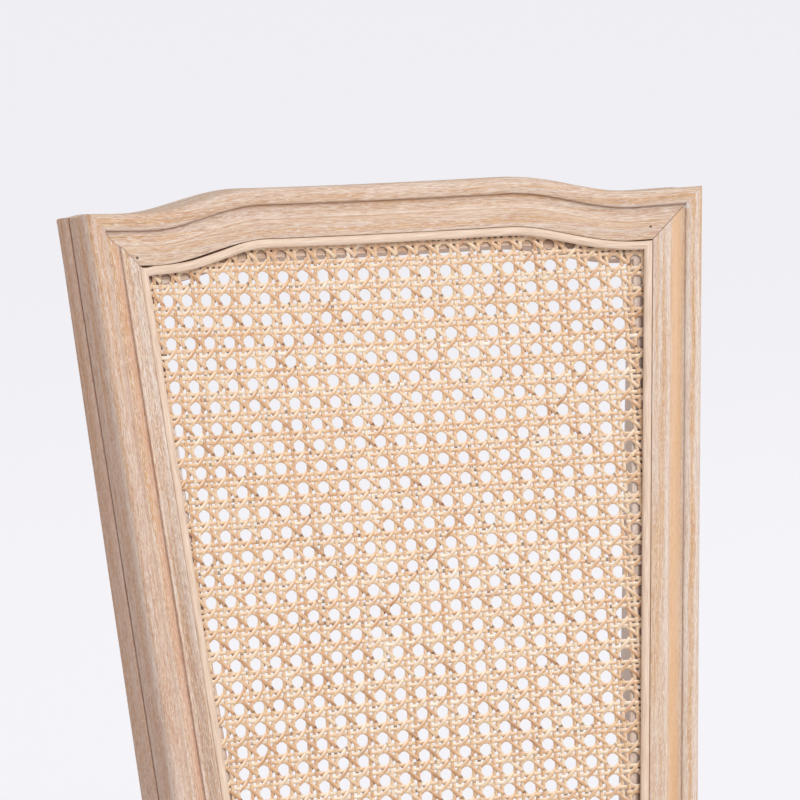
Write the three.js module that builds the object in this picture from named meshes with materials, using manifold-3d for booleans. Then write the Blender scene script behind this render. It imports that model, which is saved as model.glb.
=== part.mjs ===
// A dining chair with a curved, framed cane back and a drop-in upholstered seat.
// Millimetres, +Z up. The chair faces -Y, and its left is -X as seen from the front.

import * as THREE from 'three';
import { mergeVertices } from 'three/addons/utils/BufferGeometryUtils.js';
import Module from 'manifold-3d';

// Whole chair
const crestHeight = 1018; // floor to the top of the crest at its middle
const seatHeight = 440; // top of the seat rails
const seatDepth = 450; // front face of the front legs to the rear face of the rear legs
const seatFrontWidth = 490;

// Clearances
const fitGap = 0.3; // between pieces that touch
const mitreGap = 0.25; // taken off each side of a mitre
const holeGap = 0.3; // round a dowel, pin or screw
const cutOverrun = 2;

// Curved back: its frame is bent about a raked upright axis that stands in front of it
const rakeDegrees = 10.35;
const bendRadius = 635;
const underBackGap = 75.3; // rail tops to the foot of the lower back rail
const openingTopWidth = 394; // measured along the bend, between the walls that hold the reed
const openingBottomWidth = 316;
const crestRise = 15.9; // how far the middle of the crest stands above its shoulders
const swellStart = 183; // where the crest begins to rise, out from the middle
const swellEnd = 91; // where it is level again
const swellFanShare = 0.14; // how much further out the rise lies for each millimetre up the rail

// Moulding of the back frame, from the cane outwards
const ledgeWidth = 13.2;
const flatWidth = 13;
const coveWidth = 10.5;
const edgeBeadWidth = 12.1;
const flatHeight = 6.5; // above the ledge that the cane lies on
const coveHeight = 3.1;
const edgeBeadHeight = 7;
const edgeShoulderHeight = 1.5; // where the edge bead turns into the side
const sideStripDepth = 16;
const sideGrooveWidth = 2.2;
const sideGrooveDepth = 1.4;
const sideRound = 6;
const innerRound = 5;
const crestTopDegrees = 6.5; // from square to the face; at the rake it would lie level
const coveShares = [[0.12, 0.35], [0.5, 0], [1, 0.4]]; // corners: of its width, of its height
const edgeBeadShares = [[0.08, 0.86], [0.32, 1], [0.62, 0.93], [0.87, 0.64]];
const frameDepthTop = 33.5; // behind the ledge
const frameDepthBottom = 41.5;
const lowerRailDepth = 22;
const lowerRailRound = 5;

// Cane sheet and the reed that holds it
const caneThickness = 2;
const canePitchAcross = 31; // every second gap of the weave
const canePitchUp = 29.4;
const caneColumnShift = 11.6; // the middle column stands to one side
const caneRowShift = 14.7;
const gapShare = 0.6; // width of a gap over its pitch
const gapSideShare = 0.45; // how much of a gap's side, and of its top, stays straight
const gapTopShare = 0.39;
const caneBulge = 7;
const caneMargin = 1;
const reedWidth = 6.2;
const reedHeight = 4.8;

// Rear legs
const rearLegWidth = 34;
const rearLegDepth = 40;
const rearFootWidth = 25;
const rearFootDepth = 27;
const rearSplay = 58;
const splayPower = 1.7;
const postTaperLength = 14; // from the full frame section to the plain post
const postLedgeShare = 0.1; // of the ledge that is left there
const legBlockRise = 6; // the square part of the leg ends this far above and below the rails

// Where each corner of the back frame's section goes on the plain leg below it: shares of the leg's
// width from its inner side, and of its depth from its rear
const legCornerShares = [
  [0.12, 0], [0, 0.12], [0, 0.7], [0, 0.86], [0.04, 0.97], [0.2, 1], [0.3, 1], [0.42, 1], [0.6, 1], [0.68, 1],
  [0.76, 1], [0.84, 1], [0.95, 0.98], [1, 0.88], [1, 0.56], [1, 0.52], [1, 0.48], [1, 0.14], [0.96, 0.04],
  [0.86, 0],
];

// Front legs
const frontLegSize = 46;
const blockChamfer = 2;
const turnedRadius = 21;
const fluteDepth = 2;
const fluteCount = 12;
const fluteRangeShares = [0.15, 0.81]; // of the shaft's length
const blockRadiusShare = 0.96; // of the shaft's radius, where it enters the block

// Profile of the turned leg from its foot up: shares of its length and of its radius
const turnedShares = [
  [0, 0.48], [0.012, 0.56], [0.05, 0.6], [0.083, 0.7], [0.096, 0.79], [0.116, 0.79], [0.126, 0.64],
  [0.142, 0.63], [0.16, 0.64], [0.8, 0.9], [0.818, 0.91], [0.836, 0.92], [0.846, 1.02], [0.87, 1.02],
  [0.88, 0.8], [0.93, 0.8], [0.942, 1.06], [0.974, 1.06], [0.984, blockRadiusShare], [1, blockRadiusShare],
];

// Seat rails
const railHeight = 60;
const railThickness = 25;
const rearRailThickness = 22;
const railSetback = 4; // from the leg faces
const frontBow = 10;
const railBeadHeight = 10;
const railBeadProud = 2;
const railQuirk = 1.5;
const railBeadShares = [[0.6, 0.15], [1, 0.45], [0.6, 0.8]]; // corners: of its stand-out, of its height
const tenonLength = 16;
const tenonThickness = 10;
const tenonHeight = 36;

// Corner blocks, screws, dowels and glides
const blockReach = 55;
const blockHeight = 40;
const screwDiameter = 4;
const screwLength = 28;
const screwPoint = 5;
const screwHeadDiameter = 8;
const screwHeadHeight = 2.6;
const screwHeadShares = [[0.6, 0.85], [1, 0.2]]; // corners: of its radius, of its height
const screwGrip = 12; // wood under the head
const pocketGap = 0.6; // round a sunk screw head
const screwInset = 16; // from the end of the block
const seatScrewInset = 23; // from the leg's inner corner
const seatScrewGrip = 18;
const dowelDiameter = 8;
const dowelLength = 36;
const dowelChamfer = 1;
const crestDowelDepth = 15; // behind the ledge
const crestDowelPlaces = [-4, 14]; // out from the reed wall, along the mitre
const lowerDowelDepth = 11;
const lowerDowelPlaces = [2, 24]; // down from the reed wall
const glideDiameter = 18;
const glideFaceDiameter = 14;
const glideHeight = 4;
const glideShares = [[0.5, 0.2], [1, 0.6]]; // corners: from face to rim, and of its height
const glidePinDiameter = 2.6;
const glidePinLength = 12;

// Seat
const seatInset = 9; // from the rails' outer faces to the board
const seatNotch = 10; // from the rear legs to the board
const dustCoverThickness = 0.8;
const dustCoverInset = 14;
const boardThickness = 11;
const coverThickness = 1.6;
const seatRise = 46; // rails to the top of the crown
const seatSideRise = 27; // rails to the shoulder of the seat
const seatSwell = 3.5; // how far the sides stand out above the board
const weltRadius = 3;
const seatSideShares = [[0.6, 0.55], [0.3, 0.85]]; // corners: of the swell, of the shoulder's height
const crownEdgeShares = [[0.985, 0], [0.95, 0.22]]; // corners: of the width, of the crown's height
const crownTopShare = 0.16; // of the width, where the crown is closed flat

// How far an outline is drawn in at its farthest corner while it is divided into triangles
const easeShare = 0.002;

// Two places nearer to each other than this are one place
const sameWithin = 0.001;

// Counts
const crestSteps = [3, 6, 1]; // in each half: level middle, rise, shoulder
const railSteps = 10;
const rearLegSteps = 6;
const crownSteps = 3;
const edgeSteps = 7; // points on each long side of the seat
const roundSides = 8;
const reedSides = 8;
const screwSides = 8;
const fluteSides = 2;
const weltSides = 6;

// Finishes
const limedOak = new THREE.MeshStandardMaterial({ color: 0xb8a38f, roughness: 0.62, metalness: 0 });
const paleReed = new THREE.MeshStandardMaterial({ color: 0xe2d6c2, roughness: 0.55, metalness: 0 });
const wovenCane = new THREE.MeshStandardMaterial({ color: 0xcda467, roughness: 0.4, metalness: 0 });
const beechWood = new THREE.MeshStandardMaterial({ color: 0xc9a27a, roughness: 0.7, metalness: 0 });
const plywood = new THREE.MeshStandardMaterial({ color: 0xc8ad83, roughness: 0.75, metalness: 0 });
const linen = new THREE.MeshStandardMaterial({ color: 0xd8cdb9, roughness: 0.95, metalness: 0 });
const foam = new THREE.MeshStandardMaterial({ color: 0xe6dfc8, roughness: 1, metalness: 0 });
const cambric = new THREE.MeshStandardMaterial({ color: 0x2b2a29, roughness: 0.95, metalness: 0 });
const zincSteel = new THREE.MeshStandardMaterial({ color: 0xb4b4ae, roughness: 0.35, metalness: 1 });
const nylon = new THREE.MeshStandardMaterial({ color: 0x8a8378, roughness: 0.5, metalness: 0 });

const wasm = await Module();
wasm.setup();

// Places that follow from the sizes
const rake = THREE.MathUtils.degToRad(rakeDegrees);
const crestTopSlope = Math.tan(THREE.MathUtils.degToRad(crestTopDegrees));
const sinRake = Math.sin(rake);
const cosRake = Math.cos(rake);
const frameWidth = flatWidth + coveWidth + edgeBeadWidth;
const backZ = seatHeight + underBackGap + frameWidth * cosRake;
const crestTop = (crestHeight - backZ - edgeShoulderHeight * sinRake) / cosRake;
const openingHeight = crestTop - crestRise - frameWidth;
const edgeSlope = (openingTopWidth - openingBottomWidth) / 2 / openingHeight;
const edgeStretch = Math.hypot(1, edgeSlope);
const seatOnBack = (seatHeight - backZ) / cosRake;
const rearLegFront = seatDepth - rearLegDepth;
const legMiddle = edgeAt(seatOnBack) + frameWidth / 2 * edgeStretch;
const backY = rearLegFront - seatOnBack * sinRake - bent(legMiddle, flatHeight).away * cosRake;
const rearLegX = bent(legMiddle, 0).x;
const frontLegX = (seatFrontWidth - frontLegSize) / 2;
const legBlockBottom = seatHeight - railHeight - legBlockRise;
const reedFoot = fitGap + caneThickness + fitGap;
const rearBlockY = seatDepth - rearLegDepth / 2;
const rearFootY = rearBlockY + rearSplay;
const railFoot = seatHeight - railHeight;
const tenonZ = seatHeight - railHeight / 2;
const blockScrewZ = seatHeight - blockHeight / 2;
const sideRailSlope = (sideRailX(rearLegFront) - sideRailX(frontLegSize)) / (rearLegFront - frontLegSize);
const sideRailStretch = Math.hypot(1, sideRailSlope);
const dustCoverFoot = seatHeight + fitGap;
const boardFoot = dustCoverFoot + dustCoverThickness + fitGap;
const boardTop = boardFoot + boardThickness;

// Half the width between the reed walls, at a height up the back
function edgeAt(v) {
  return openingBottomWidth / 2 + v * edgeSlope;
}

// A point of the bend: s runs along it from the middle, n stands out of its hollow side
function bent(s, n) {
  const turn = s / bendRadius;
  const reach = bendRadius - n;
  return { x: reach * Math.sin(turn), away: reach * Math.cos(turn) - bendRadius };
}

// A point of the back in the chair's frame: v runs up the rake from the lower reed wall
function onBack(s, v, n) {
  const { x, away } = bent(s, n);
  return new THREE.Vector3(
    x,
    backY + v * sinRake + away * cosRake,
    backZ + v * cosRake - away * sinRake,
  );
}

function smooth(share) {
  const x = THREE.MathUtils.clamp(share, 0, 1);
  return x * x * (3 - 2 * x);
}

// How far the crest has risen at s, for a line that runs t above the reed wall
function riseAt(s, t) {
  const fan = t * swellFanShare;
  return crestRise * smooth((swellStart + fan - Math.abs(s)) / (swellStart - swellEnd));
}

// Whether the triangles of a closed body face into it
function facesInwards(points, faces) {
  let sum = 0;
  for (const [a, b, c] of faces) {
    sum += points[a].dot(new THREE.Vector3().crossVectors(points[b], points[c]));
  }
  return sum < 0;
}

// A closed body from its corners and triangles, with its faces turned outwards
function closedBody(points, faces) {
  const inwards = facesInwards(points, faces);
  const index = faces.flatMap(([a, b, c]) => (inwards ? [a, c, b] : [a, b, c]));
  const places = points.flatMap((point) => point.toArray());
  const geometry = new THREE.BufferGeometry();
  geometry.setAttribute('position', new THREE.Float32BufferAttribute(places, 3));
  geometry.setIndex(index);
  geometry.computeVertexNormals();
  return geometry;
}

// An outline drawn in a little at its far corners, so that no three corners lie in one line
function eased(outline) {
  const sum = outline.reduce((total, point) => total.add(point), new THREE.Vector2());
  const centre = sum.divideScalar(outline.length);
  const arms = outline.map((point) => point.clone().sub(centre));
  const reach = Math.max(...arms.map((arm) => arm.length()));
  return arms.map((arm) => arm.multiplyScalar(1 - easeShare * (arm.length() / reach) ** 2));
}

// The triangles of a flat outline, turned the same way as the outline runs
function capFaces(outline) {
  const corners = eased(outline);
  const turned = THREE.ShapeUtils.area(corners) > 0;
  return THREE.ShapeUtils.triangulateShape(corners, []).map(([a, b, c]) => {
    const area = THREE.ShapeUtils.area([corners[a], corners[b], corners[c]]);
    return (area > 0) === turned ? [a, b, c] : [a, c, b];
  });
}

// A loft through rings of equal count; each end is closed on the outline given for it
function loft(rings, startOutline, endOutline = startOutline) {
  const count = rings[0].length;
  const faces = [];
  for (let ring = 0; ring < rings.length - 1; ring += 1) {
    for (let i = 0; i < count; i += 1) {
      const a = ring * count + i;
      const b = ring * count + (i + 1) % count;
      faces.push([a, b, b + count], [a, b + count, a + count]);
    }
  }
  const last = (rings.length - 1) * count;
  for (const [a, b, c] of capFaces(startOutline)) {
    faces.push([a, c, b]);
  }
  for (const [a, b, c] of capFaces(endOutline)) {
    faces.push([last + a, last + b, last + c]);
  }
  return closedBody(rings.flat(), faces);
}

// A loft that closes on itself, for a ring-shaped piece
function loopLoft(rings) {
  const count = rings[0].length;
  const faces = [];
  rings.forEach((_, ring) => {
    const next = (ring + 1) % rings.length;
    for (let i = 0; i < count; i += 1) {
      const j = (i + 1) % count;
      faces.push([ring * count + i, ring * count + j, next * count + j]);
      faces.push([ring * count + i, next * count + j, next * count + i]);
    }
  });
  return closedBody(rings.flat(), faces);
}

function toSolid(geometry) {
  const bare = geometry.clone();
  bare.deleteAttribute('normal');
  bare.deleteAttribute('uv');
  const merged = mergeVertices(bare);
  return new wasm.Manifold(new wasm.Mesh({
    numProp: 3,
    vertProperties: new Float32Array(merged.attributes.position.array),
    triVerts: new Uint32Array(merged.index.array),
  }));
}

function toGeometry(solid) {
  const mesh = solid.getMesh();
  const geometry = new THREE.BufferGeometry();
  geometry.setAttribute('position', new THREE.Float32BufferAttribute(mesh.vertProperties, mesh.numProp));
  geometry.setIndex(Array.from(mesh.triVerts));
  geometry.computeVertexNormals();
  return geometry;
}

// A body with others joined to it and then others cut out of it
function shaped(body, joined, removed) {
  let solid = toSolid(body);
  for (const piece of joined) {
    solid = solid.add(toSolid(piece));
  }
  for (const piece of removed) {
    solid = solid.subtract(toSolid(piece));
  }
  return toGeometry(solid);
}

// A turning that carries +Z onto a direction
function turnTo(direction) {
  return new THREE.Quaternion().setFromUnitVectors(new THREE.Vector3(0, 0, 1), direction);
}

// A rod of one radius from a point along a direction
function rod(start, direction, length, radius) {
  const geometry = new THREE.CylinderGeometry(radius, radius, length, roundSides);
  geometry.rotateX(Math.PI / 2);
  geometry.translate(0, 0, length / 2);
  geometry.applyQuaternion(turnTo(direction));
  geometry.translate(start.x, start.y, start.z);
  return geometry;
}

// Section of the back frame, from the rear inner corner round the front to the rear outer corner. t runs
// outwards from the reed wall and n forwards from the ledge, or with back 1 from the frame's rear face;
// outer marks the outer side, and rounded is what its rear round takes off.
function frameSection() {
  const coveRise = flatHeight - coveHeight;
  const beadStart = flatWidth + coveWidth;
  const rearCorner = (degrees) => {
    const angle = THREE.MathUtils.degToRad(degrees);
    const rounded = sideRound * (1 - Math.cos(angle));
    return { t: frameWidth - rounded, n: sideRound * (1 - Math.sin(angle)), back: 1, rounded };
  };
  const inside = [
    { t: innerRound - ledgeWidth, n: 0, back: 1 },
    { t: -ledgeWidth, n: innerRound, back: 1 },
  ];
  const front = [
    { t: -ledgeWidth, n: 0 },
    { t: 0, n: 0 },
    { t: 0, n: flatHeight },
    { t: flatWidth, n: flatHeight },
    ...coveShares.map(([out, up]) => ({ t: flatWidth + coveWidth * out, n: coveHeight + coveRise * up })),
    ...edgeBeadShares.map(([out, up]) => ({ t: beadStart + edgeBeadWidth * out, n: edgeBeadHeight * up })),
    { t: frameWidth, n: edgeShoulderHeight },
  ];
  const side = [
    { t: frameWidth, n: -sideStripDepth },
    { t: frameWidth - sideGrooveDepth, n: -sideStripDepth - sideGrooveWidth / 2 },
    { t: frameWidth, n: -sideStripDepth - sideGrooveWidth },
    rearCorner(0),
    rearCorner(45),
    rearCorner(90),
  ].map((point) => ({ ...point, outer: true }));
  return [...inside, ...front, ...side].map((point, i) => {
    const [across, along] = legCornerShares[i];
    return { back: 0, outer: false, rounded: 0, ...point, across, along };
  });
}

function depthAt(v) {
  const share = THREE.MathUtils.clamp(v / openingHeight, 0, 1);
  return THREE.MathUtils.lerp(frameDepthBottom, frameDepthTop, share);
}

function outlineOf(section, depth) {
  return section.map(({ t, n, back }) => new THREE.Vector2(t, n - back * depth));
}

// On the crest the outer side is the top: it is planed towards level, without the groove
function crestReach({ t, n, back, outer, rounded }) {
  if (!outer) {
    return t;
  }
  return frameWidth - rounded + (edgeShoulderHeight - n + back * frameDepthTop) * crestTopSlope;
}

// The corner of the back frame for one point of its section
function cornerOf(point) {
  const v = openingHeight + crestReach(point);
  return { s: edgeAt(v) + point.t * edgeStretch, v };
}

// Stations along the crest for a line that runs t above the reed wall and ends at end
function crestStations(t, end) {
  const [middleSteps, riseSteps, shoulderSteps] = crestSteps;
  const half = middleSteps + riseSteps + shoulderSteps;
  const fan = t * swellFanShare;
  return Array.from({ length: 2 * half + 1 }, (_, i) => {
    const step = Math.abs(i - half);
    const risen = step - middleSteps;
    let s = (swellEnd + fan) * step / middleSteps;
    if (risen > riseSteps) {
      s = THREE.MathUtils.lerp(swellStart + fan, end, (risen - riseSteps) / shoulderSteps);
    } else if (risen > 0) {
      s = THREE.MathUtils.lerp(swellEnd, swellStart, risen / riseSteps) + fan;
    }
    return { s: Math.sign(i - half) * s, v: openingHeight + t + riseAt(s, t) };
  });
}

// The rings of a rail that follows the crest, from the stations of each point of its section
function crestRings(lines) {
  return lines[0].map((_, station) => lines.map((line) => {
    const { s, v, n } = line[station];
    return onBack(s, v, n);
  }));
}

// The crest: a moulded rail, bent in plan, with a raised middle and mitred ends
function crestRail() {
  const section = frameSection();
  const lines = section.map((point) => {
    const n = point.n - point.back * frameDepthTop;
    const end = cornerOf(point).s - mitreGap;
    return crestStations(crestReach(point), end).map((station) => ({ ...station, n }));
  });
  const body = loft(crestRings(lines), outlineOf(section, frameDepthTop));
  return shaped(body, [], [-1, 1].flatMap(crestDowelHoles));
}

// A dowel's middle and direction, across the mitre
function crestDowelLine(side, place) {
  const inner = { t: place, outer: false };
  const { s, v } = cornerOf(inner);
  const reach = dowelLength / 2 / Math.SQRT2;
  const crestEnd = onBack(side * (s - reach), v + reach, -crestDowelDepth);
  const stileEnd = onBack(side * (s + reach), v - reach, -crestDowelDepth);
  return spanOf(crestEnd, stileEnd);
}

// A dowel's middle and direction, between the lower rail's end and the rear leg
function lowerDowelLine(side, place) {
  const s = edgeAt(-place) - ledgeWidth;
  const reach = dowelLength / 2;
  const railEnd = onBack(side * (s - reach), -place, -lowerDowelDepth);
  const stileEnd = onBack(side * (s + reach), -place, -lowerDowelDepth);
  return spanOf(railEnd, stileEnd);
}

function spanOf(start, end) {
  const direction = new THREE.Vector3().subVectors(end, start).normalize();
  const middle = new THREE.Vector3().addVectors(start, end).divideScalar(2);
  return { middle, direction };
}

function dowelHole({ middle, direction }) {
  const length = dowelLength + 2 * cutOverrun;
  const start = middle.clone().addScaledVector(direction, -length / 2);
  return rod(start, direction, length, dowelDiameter / 2 + holeGap);
}

function crestDowelHoles(side) {
  return crestDowelPlaces.map((place) => dowelHole(crestDowelLine(side, place)));
}

function lowerDowelHoles(side) {
  return lowerDowelPlaces.map((place) => dowelHole(lowerDowelLine(side, place)));
}

// A dowel with both ends chamfered
function dowel() {
  const radius = dowelDiameter / 2;
  const half = dowelLength / 2;
  const profile = [
    new THREE.Vector2(0, -half),
    new THREE.Vector2(radius - dowelChamfer, -half),
    new THREE.Vector2(radius, dowelChamfer - half),
    new THREE.Vector2(radius, half - dowelChamfer),
    new THREE.Vector2(radius - dowelChamfer, half),
    new THREE.Vector2(0, half),
  ];
  return new THREE.LatheGeometry(profile, roundSides).rotateX(Math.PI / 2);
}

// One level ring of the rear leg below the back, from the shares that the section gives
function legRing(side, z, width, depth, middleY) {
  return frameSection().map(({ across, along }) => new THREE.Vector3(
    side * (rearLegX - width / 2 + across * width),
    middleY + depth / 2 - along * depth,
    z,
  ));
}

// A rear leg: stile, post, square joint block and splayed leg in one piece
function rearLeg(side) {
  const section = frameSection();
  const stile = (v, ledgeLeft) => section.map((point) => {
    const t = Math.max(point.t, -ledgeWidth * ledgeLeft);
    return onBack(side * (edgeAt(v) + t * edgeStretch), v, point.n - point.back * depthAt(v));
  });
  const top = section.map((point) => {
    const { s, v } = cornerOf(point);
    return onBack(side * s, v - mitreGap, point.n - point.back * depthAt(v));
  });
  const postTop = -frameWidth - cutOverrun;
  const rings = [
    top,
    stile(openingHeight - ledgeWidth * 2, 1),
    stile(openingHeight / 2, 1),
    stile(0, 1),
    stile(postTop, 1),
    stile(postTop - postTaperLength, postLedgeShare),
  ];
  rings.push(legRing(side, seatHeight + legBlockRise, rearLegWidth, rearLegDepth, rearBlockY));
  for (let step = 0; step <= rearLegSteps; step += 1) {
    const share = step / rearLegSteps;
    rings.push(legRing(
      side,
      THREE.MathUtils.lerp(legBlockBottom, glideHeight + fitGap, share),
      THREE.MathUtils.lerp(rearLegWidth, rearFootWidth, share),
      THREE.MathUtils.lerp(rearLegDepth, rearFootDepth, share),
      rearBlockY + rearSplay * share ** splayPower,
    ));
  }
  const foot = section.map(({ across, along }) => new THREE.Vector2(across, along));
  const body = loft(rings, outlineOf(section, frameDepthTop), foot);
  return shaped(body, [], [
    ...crestDowelHoles(side),
    ...lowerDowelHoles(side),
    tenon(sideTenonLine(side, 1), holeGap),
    tenon(rearTenonLine(side), holeGap),
    pinHole(side * rearLegX, rearFootY),
  ]);
}

// The lower rail of the back, coped over the ledges of the rear legs
function lowerBackRail() {
  const front = frameSection().filter(({ n, back }) => back === 0 && n >= 0);
  const section = [
    { t: lowerRailRound - ledgeWidth, n: -lowerRailDepth },
    { t: -ledgeWidth, n: lowerRailRound - lowerRailDepth },
    ...front,
    { t: frameWidth, n: lowerRailRound - lowerRailDepth },
    { t: frameWidth - lowerRailRound, n: -lowerRailDepth },
  ];
  const reach = flatWidth / 2;
  const rings = [];
  for (let step = -railSteps / 2; step <= railSteps / 2; step += 1) {
    const share = step / (railSteps / 2);
    rings.push(section.map(({ t, n }) => onBack(share * (edgeAt(-t) + reach), -t, n)));
  }
  const outline = section.map(({ t, n }) => new THREE.Vector2(t, n));
  return shaped(loft(rings, outline), [], [-1, 1].flatMap((side) => [
    stileCutter(side),
    ...lowerDowelHoles(side),
  ]));
}

// The space that a rear leg takes beside the lower rail, with its fitting gap
function stileCutter(side) {
  const behind = frameDepthBottom + cutOverrun;
  const before = edgeBeadHeight + cutOverrun;
  const corners = [
    [-ledgeWidth - fitGap, -behind],
    [-ledgeWidth - fitGap, fitGap],
    [-fitGap, fitGap],
    [-fitGap, before],
    [flatWidth, before],
    [flatWidth, -behind],
  ];
  const ends = [ledgeWidth + cutOverrun, -frameWidth - cutOverrun];
  const rings = ends.map((v) => corners.map(([t, n]) => (
    onBack(side * (edgeAt(v) + t * edgeStretch), v, n))));
  return loft(rings, corners.map(([t, n]) => new THREE.Vector2(t, n)));
}

// Section of the reed, a flattened oval that lies on the cane against the wall
function reedSection() {
  const points = [];
  for (let i = 0; i < reedSides; i += 1) {
    const angle = (i + 0.5) / reedSides * Math.PI * 2;
    const stretch = 1 / Math.cos(Math.PI / reedSides);
    points.push({
      t: -fitGap - reedWidth / 2 + reedWidth / 2 * Math.cos(angle) * stretch,
      n: reedFoot + reedHeight / 2 + reedHeight / 2 * Math.sin(angle) * stretch,
    });
  }
  return points;
}

function reedOutline() {
  return reedSection().map(({ t, n }) => new THREE.Vector2(t, n));
}

function topReed() {
  const lines = reedSection().map(({ t, n }) => {
    const end = edgeAt(openingHeight + t) + t * edgeStretch - mitreGap;
    return crestStations(t, end).map((station) => ({ ...station, n }));
  });
  return loft(crestRings(lines), reedOutline());
}

function bottomReed() {
  const rings = [];
  for (let step = -railSteps / 2; step <= railSteps / 2; step += 1) {
    rings.push(reedSection().map(({ t, n }) => {
      const end = edgeAt(-t) + t * edgeStretch - mitreGap;
      return onBack(end * step / (railSteps / 2), -t, n);
    }));
  }
  return loft(rings, reedOutline());
}

function sideReed(side) {
  const rings = [0, 0.5, 1].map((share) => reedSection().map(({ t, n }) => {
    const bottom = -t + mitreGap;
    const top = openingHeight + t - mitreGap;
    const v = THREE.MathUtils.lerp(bottom, top, share);
    return onBack(side * (edgeAt(v) + t * edgeStretch), v, n);
  }));
  return loft(rings, reedOutline());
}

// Outline of the cane sheet, anticlockwise from the left end of its foot
function caneOutline() {
  const inset = fitGap;
  const footEnd = edgeAt(inset) - inset;
  const foot = Array.from({ length: railSteps + 1 }, (_, step) => ({
    s: footEnd * (2 * step / railSteps - 1),
    v: inset,
  }));
  return [...foot, ...crestStations(-inset, edgeAt(openingHeight - inset) - inset).reverse()];
}

// The part of an outline on one side of a line across s or v
function clipped(outline, axis, limit, sign) {
  const within = (point) => sign * (point[axis] - limit) >= 0;
  const onLine = (point) => point[axis] === limit;
  return outline.flatMap((point, i) => {
    const next = outline[(i + 1) % outline.length];
    const kept = within(point) ? [point] : [];
    if (within(point) !== within(next) && !onLine(point) && !onLine(next)) {
      const share = (limit - point[axis]) / (next[axis] - point[axis]);
      const crossing = {
        s: THREE.MathUtils.lerp(point.s, next.s, share),
        v: THREE.MathUtils.lerp(point.v, next.v, share),
      };
      crossing[axis] = limit;
      kept.push(crossing);
    }
    return kept;
  });
}

// Whether a gap is whole: clear of the rim that lies on the ledge
function insideField({ s, v }) {
  const inset = ledgeWidth + caneMargin;
  return v > inset && v < openingHeight - inset + riseAt(s, -inset) && Math.abs(s) < edgeAt(v) - inset;
}

// The eight corners of a gap of the weave, anticlockwise from its right side's foot
function caneGap(s, v) {
  const halfAcross = canePitchAcross * gapShare / 2;
  const halfUp = canePitchUp * gapShare / 2;
  const cornerShares = [
    [1, -gapSideShare], [1, gapSideShare], [gapTopShare, 1], [-gapTopShare, 1],
    [-1, gapSideShare], [-1, -gapSideShare], [-gapTopShare, -1], [gapTopShare, -1],
  ];
  return cornerShares.map(([a, b]) => ({ s: s + a * halfAcross, v: v + b * halfUp }));
}

// The net, cut into upright strips one gap wide: rings of cane round each gap, and what is left of
// the strip above and below them
function caneCells() {
  const gaps = [];
  const rims = [];
  const columns = Math.ceil(openingTopWidth / 2 / canePitchAcross) + 1;
  const rows = Math.ceil((openingHeight + crestRise) / canePitchUp);
  const lineAt = (place) => caneColumnShift + place * canePitchAcross;
  for (let column = -columns; column <= columns; column += 1) {
    const s = lineAt(column);
    const [left, right] = [lineAt(column - 0.5), lineAt(column + 0.5)];
    const strip = clipped(clipped(caneOutline(), 's', left, 1), 's', right, -1);
    const heights = Array.from({ length: rows + 1 }, (_, row) => caneRowShift + row * canePitchUp)
      .filter((v) => caneGap(s, v).every(insideField));
    const edges = heights.length ? [heights[0] - canePitchUp / 2, heights.at(-1) + canePitchUp / 2] : [];
    if (edges.length) {
      rims.push(clipped(strip, 'v', edges[0], -1), clipped(strip, 'v', edges[1], 1));
    } else if (strip.length > 2) {
      rims.push(strip);
    }
    for (const v of heights) {
      const foot = v - canePitchUp / 2;
      const top = v + canePitchUp / 2;
      gaps.push({
        frame: [{ s: right, v: foot }, { s: right, v: top }, { s: left, v: top }, { s: left, v: foot }],
        gap: caneGap(s, v),
      });
    }
  }
  return { gaps, rims };
}

// The net as numbered flat corners and triangles
function canePattern() {
  const { gaps, rims } = caneCells();
  const corners = [];
  const numbers = new Map();
  const faces = [];
  const number = ({ s, v }) => {
    const key = `${s.toFixed(3)} ${v.toFixed(3)}`;
    if (!numbers.has(key)) {
      numbers.set(key, corners.push({ s, v }) - 1);
    }
    return numbers.get(key);
  };
  for (const { frame, gap } of gaps) {
    const outer = frame.map(number);
    const inner = gap.map(number);
    outer.forEach((corner, i) => {
      const next = outer[(i + 1) % outer.length];
      const [foot, top] = [inner[2 * i], inner[2 * i + 1]];
      faces.push([corner, foot, inner.at(2 * i - 1)], [corner, next, top], [corner, top, foot]);
    });
  }
  const known = [...corners, ...rims.flat()];
  for (const rim of rims) {
    const edge = rim.flatMap((point, i) => [point, ...between(point, rim[(i + 1) % rim.length], known)]);
    const ring = edge.map(number).filter((corner, i, all) => corner !== all[(i + 1) % all.length]);
    const sum = edge.reduce((total, { s, v }) => ({ s: total.s + s, v: total.v + v }), { s: 0, v: 0 });
    const hub = number({ s: sum.s / edge.length, v: sum.v / edge.length });
    ring.forEach((corner, i) => faces.push([hub, corner, ring[(i + 1) % ring.length]]));
  }
  return { corners, faces };
}

// The known corners that lie on an upright edge, in order from its start
function between(start, end, known) {
  const alike = (a, b) => Math.abs(a - b) < sameWithin;
  if (!alike(start.s, end.s)) {
    return [];
  }
  const [low, high] = [Math.min(start.v, end.v) + sameWithin, Math.max(start.v, end.v) - sameWithin];
  const found = known.filter(({ s, v }) => alike(s, start.s) && v > low && v < high);
  return found.sort((a, b) => (a.v - b.v) * Math.sign(end.v - start.v));
}

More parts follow.
